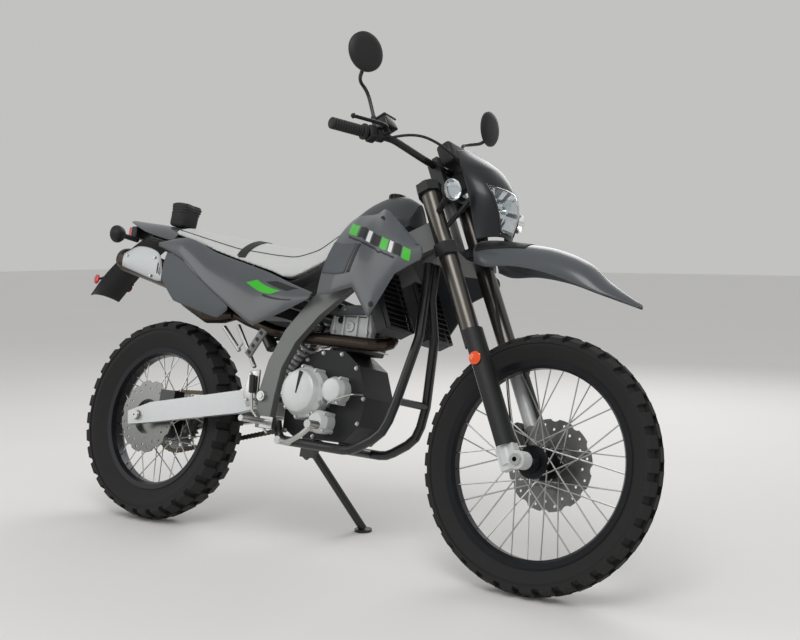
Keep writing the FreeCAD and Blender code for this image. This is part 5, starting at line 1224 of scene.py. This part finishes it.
# %% Engine bolts
# Centre forward, centre up, ring radius, number of bolts, face across, hand
BOLT_RINGS = [
    (696, 466, 76, 9, -118.2, -1), (806, 480, 40, 3, -114.2, -1), (770, 384, 34, 4, -120.2, -1),
    (770, 450, 70, 8, 92.2, 1),
]
bolts = []
for forward, up, radius, count, face, hand in BOLT_RINGS:
    for index in range(count):
        angle = 2 * math.pi * (index + 0.5) / count
        place = (forward + radius * math.cos(angle), face, up + radius * math.sin(angle))
        bolts.append((bolt(place, (0, hand, 0)), STAY, 0))
# Forward and up of the bolts at the case's corners, and of those on the head and cam cover
CASE_BOLTS = [
    (618, 348), (726, 341), (884, 392), (893, 465), (852, 552), (792, 590), (722, 590), (664, 566),
]
HEAD_BOLTS = [(734, 660), (858, 660), (754, 732), (834, 734)]
for forward, up in CASE_BOLTS:
    bolts.append((bolt((forward, -80, up), RIGHT, 9), STAY, 0))
    bolts.append((bolt((forward, 62, up), LEFT, 9), STAY, 0))
HEAD_TOP = 690
for forward, up in HEAD_BOLTS:
    face = 60 if up < HEAD_TOP else 50
    bolts.append((bolt((forward, -face, up), RIGHT, 9), STAY, 0))
    bolts.append((bolt((forward, face, up), LEFT, 9), STAY, 0))
settle("engine_bolts", merged(bolts), upright, [bright_steel], "chassis", crisp=30)
tell()

# %% [markdown]
# A thin oil pipe runs over the side covers, with both ends turned in to the casing. The clutch
# cover carries a shallow dome, which a spun profile gives with its soft edge.

# %% Oil pipe on the engine's right side, and the clutch cover's dome and the painted shade of its groove
oil_pipe = [
    (786, -92, 430), (792, -124, 434), (815, -124, 450), (863, -124, 466), (888, -118, 475),
    (892, -76, 476),
]
bent_rod("oil_pipe", oil_pipe, 2.6, bright_steel, "chassis", upright)
dome_and_groove_shade = merged([
    boss([(0, 0), (0, 61), (3, 60.5), (7, 55), (9, 40), (9.5, 0)], (696, -141.5, 466), 56),
    # A thin black plate beside the dome is painted shade for a groove in the cover
    (plate([(699, 526), (712, 522), (699, 458), (695, 459)], -152.6, -148, 1.2), STAY, 1),
    boss([(0, 0), (0, 32), (2, 31), (3, 28), (3, 0)], (806, -126, 480), 40),
])
settle("clutch_cover_dome", dome_and_groove_shade, upright, [cast_alloy, black_plastic], "chassis")
tell()

# %% [markdown]
# The exhaust's heat shield is thin stainless sheet over the silencer, bent round it and pierced
# with three cooling slots. It stands for the engineering node, whose sheet has none.

# %% Heat shield
shield_rows = stations([
    ((-172, -138.4, 832), (-172, -141.4, 854), (-172, -138.4, 877)),
    ((-100, -137.4, 812), (-100, -141.4, 858), (-100, -137.4, 902)),
    ((-3, -137.4, 786), (-3, -141.4, 834), (-3, -137.4, 880)),
    ((31, -137.4, 783), (31, -139.4, 797), (31, -137.4, 812)),
])
# Share along where a slot starts and ends, and its half width across at each
SLOTS = [(0.72, 0.76, 0.2, 0.2), (0.80, 0.84, 0.17, 0.17), (0.88, 0.92, 0.12, 0.12)]
settle("exhaust_shield", skin(shield_rows, 50, 24, RIGHT, SLOTS), upright, [shield_steel],
       "chassis", ["heat_shield"], wall=0.002, rounding=0.0005)
shield_screws = merged([(bolt(place, RIGHT, 7), STAY, 0)
                        for place in ((-150, -141, 868), (-12, -141, 862), (-20, -141, 800))])
settle("shield_screws", shield_screws, upright, [bright_steel], "chassis")
settle("silencer_outlet", turned([(0, 10), (0, 14), (16, 14), (16, 10)], 32),
       upright @ facing((-205, -99, 864), (-1, 0, 0.2)), [black_enamel], "chassis")
tell()

# %% [markdown]
# Small parts fill the space under the seat on the right: two stays that carry the passenger's
# peg, a slotted casting that shields the heel, and the rear brake's master cylinder on its plate
# with the rods down to the pedal.

# %% Stays, heel guard and rear brake cylinder
heel_guard = [(block((100, 9, 30), 4), STAY, 0)]
# The slots are black blocks through the guard, painted shade for its openings
for slot_at in (-36, -12, 12, 36):
    heel_guard.append((block((14, 10.4, 17), 3), at((slot_at, 0, 0)), 1))
heel_mesh = merged(heel_guard)
heel_mesh.transform(at((497, -136, 600)) @ tipped(-58))
settle("heel_guard", heel_mesh, upright, [spar_paint, black_plastic], "chassis")
# Start, end, radius and the finish's number
SMALL_RODS = [
    ((321, -104, 648), (403, -104, 575), 7, 0), ((381, -104, 655), (478, -104, 527), 7, 0),
    ((396, -104, 582), (414, -104, 606), 5, 0), ((506, -138, 500), (513, -138, 446), 10, 1),
    ((513, -138, 446), (524, -139, 396), 4, 0), ((524, -139, 396), (600, -142, 332), 4, 0),
]
small_steel = [(rod(start, end, radius), STAY, finish) for start, end, radius, finish in SMALL_RODS]
small_steel += [(bolt((forward, -127, up), RIGHT, 9), STAY, 0)
                for forward, up in ((486, 424), (520, 428), (488, 504))]
small_steel += [
    (plate([(478, 512), (520, 520), (528, 410), (486, 404), (466, 440)], -127, -117.4, 3), STAY, 0),
    boss([(0, 0), (0, 15), (9, 15), (9, 9), (12, 9), (12, 0)], (552, -132, 440), 28),
]
settle("stays_and_brake_rod", merged(small_steel), upright, [bright_steel, black_enamel], "chassis")
tell()

# %% [markdown]
# The studio is a pale floor under a pale world, with three large soft lamps. What the camera
# sees behind the machine is a little darker than the light that the world gives. The key stands
# high over the camera on the machine's right, so the engine is lit, and the one behind draws the
# edges of the dark wheels.

# %% Floor
floor_mesh = bmesh.new()
bmesh.ops.create_grid(floor_mesh, x_segments=1, y_segments=1, size=30)
floor_data = bpy.data.meshes.new("studio_floor")
floor_mesh.to_mesh(floor_data)
floor_mesh.free()
studio_floor = bpy.data.objects.new("studio_floor", floor_data)
scene.collection.objects.link(studio_floor)
floor_finish = mottled("pale_studio_floor", "eceae7", "e7e5e2", 900, 0.75, 0.03, 8, 0.0001)
floor_data.materials.append(floor_finish)
print("staged:", studio_floor.name)

# %% World
world = bpy.data.worlds.new("studio")
world.use_nodes = True
lighting = world.node_tree.nodes["Background"]
lighting.inputs["Color"].default_value = linear("f2f3f4")
lighting.inputs["Strength"].default_value = 0.62
backdrop = add_node(world, "ShaderNodeBackground", {"Color": linear("c2c2c0"), "Strength": 1.0})
rays = add_node(world, "ShaderNodeLightPath")
seen = add_node(world, "ShaderNodeMath", {
    0: rays.outputs["Is Camera Ray"], 1: rays.outputs["Is Transmission Ray"]},
    operation="ADD", use_clamp=True)
shown = add_node(world, "ShaderNodeMixShader", {
    0: seen.outputs[0], 1: lighting.outputs["Background"], 2: backdrop.outputs["Background"]})
world.node_tree.links.new(shown.outputs[0], world.node_tree.nodes["World Output"].inputs["Surface"])
scene.world = world
print("world nodes:", len(world.node_tree.nodes))

# %% Lamps
LAMPS = [
    # name, place, size, watts
    ("key", (1.6, -2.8, 4.2), 2.2, 70),
    ("fill", (-3.4, -2.6, 2.2), 2.4, 26),
    ("rim", (-0.8, 3.6, 3.0), 2.6, 52),
]
for name, place, size, watts in LAMPS:
    lamp = bpy.data.lights.new(name, "AREA")
    lamp.size = size
    lamp.energy = watts
    stand = bpy.data.objects.new(name, lamp)
    stand.location = place
    stand.rotation_euler = (Vector((0, 0, 0.6)) - Vector(place)).to_track_quat("-Z", "Y").to_euler()
    scene.collection.objects.link(stand)
print("lamps:", ", ".join(name for name, *_ in LAMPS))
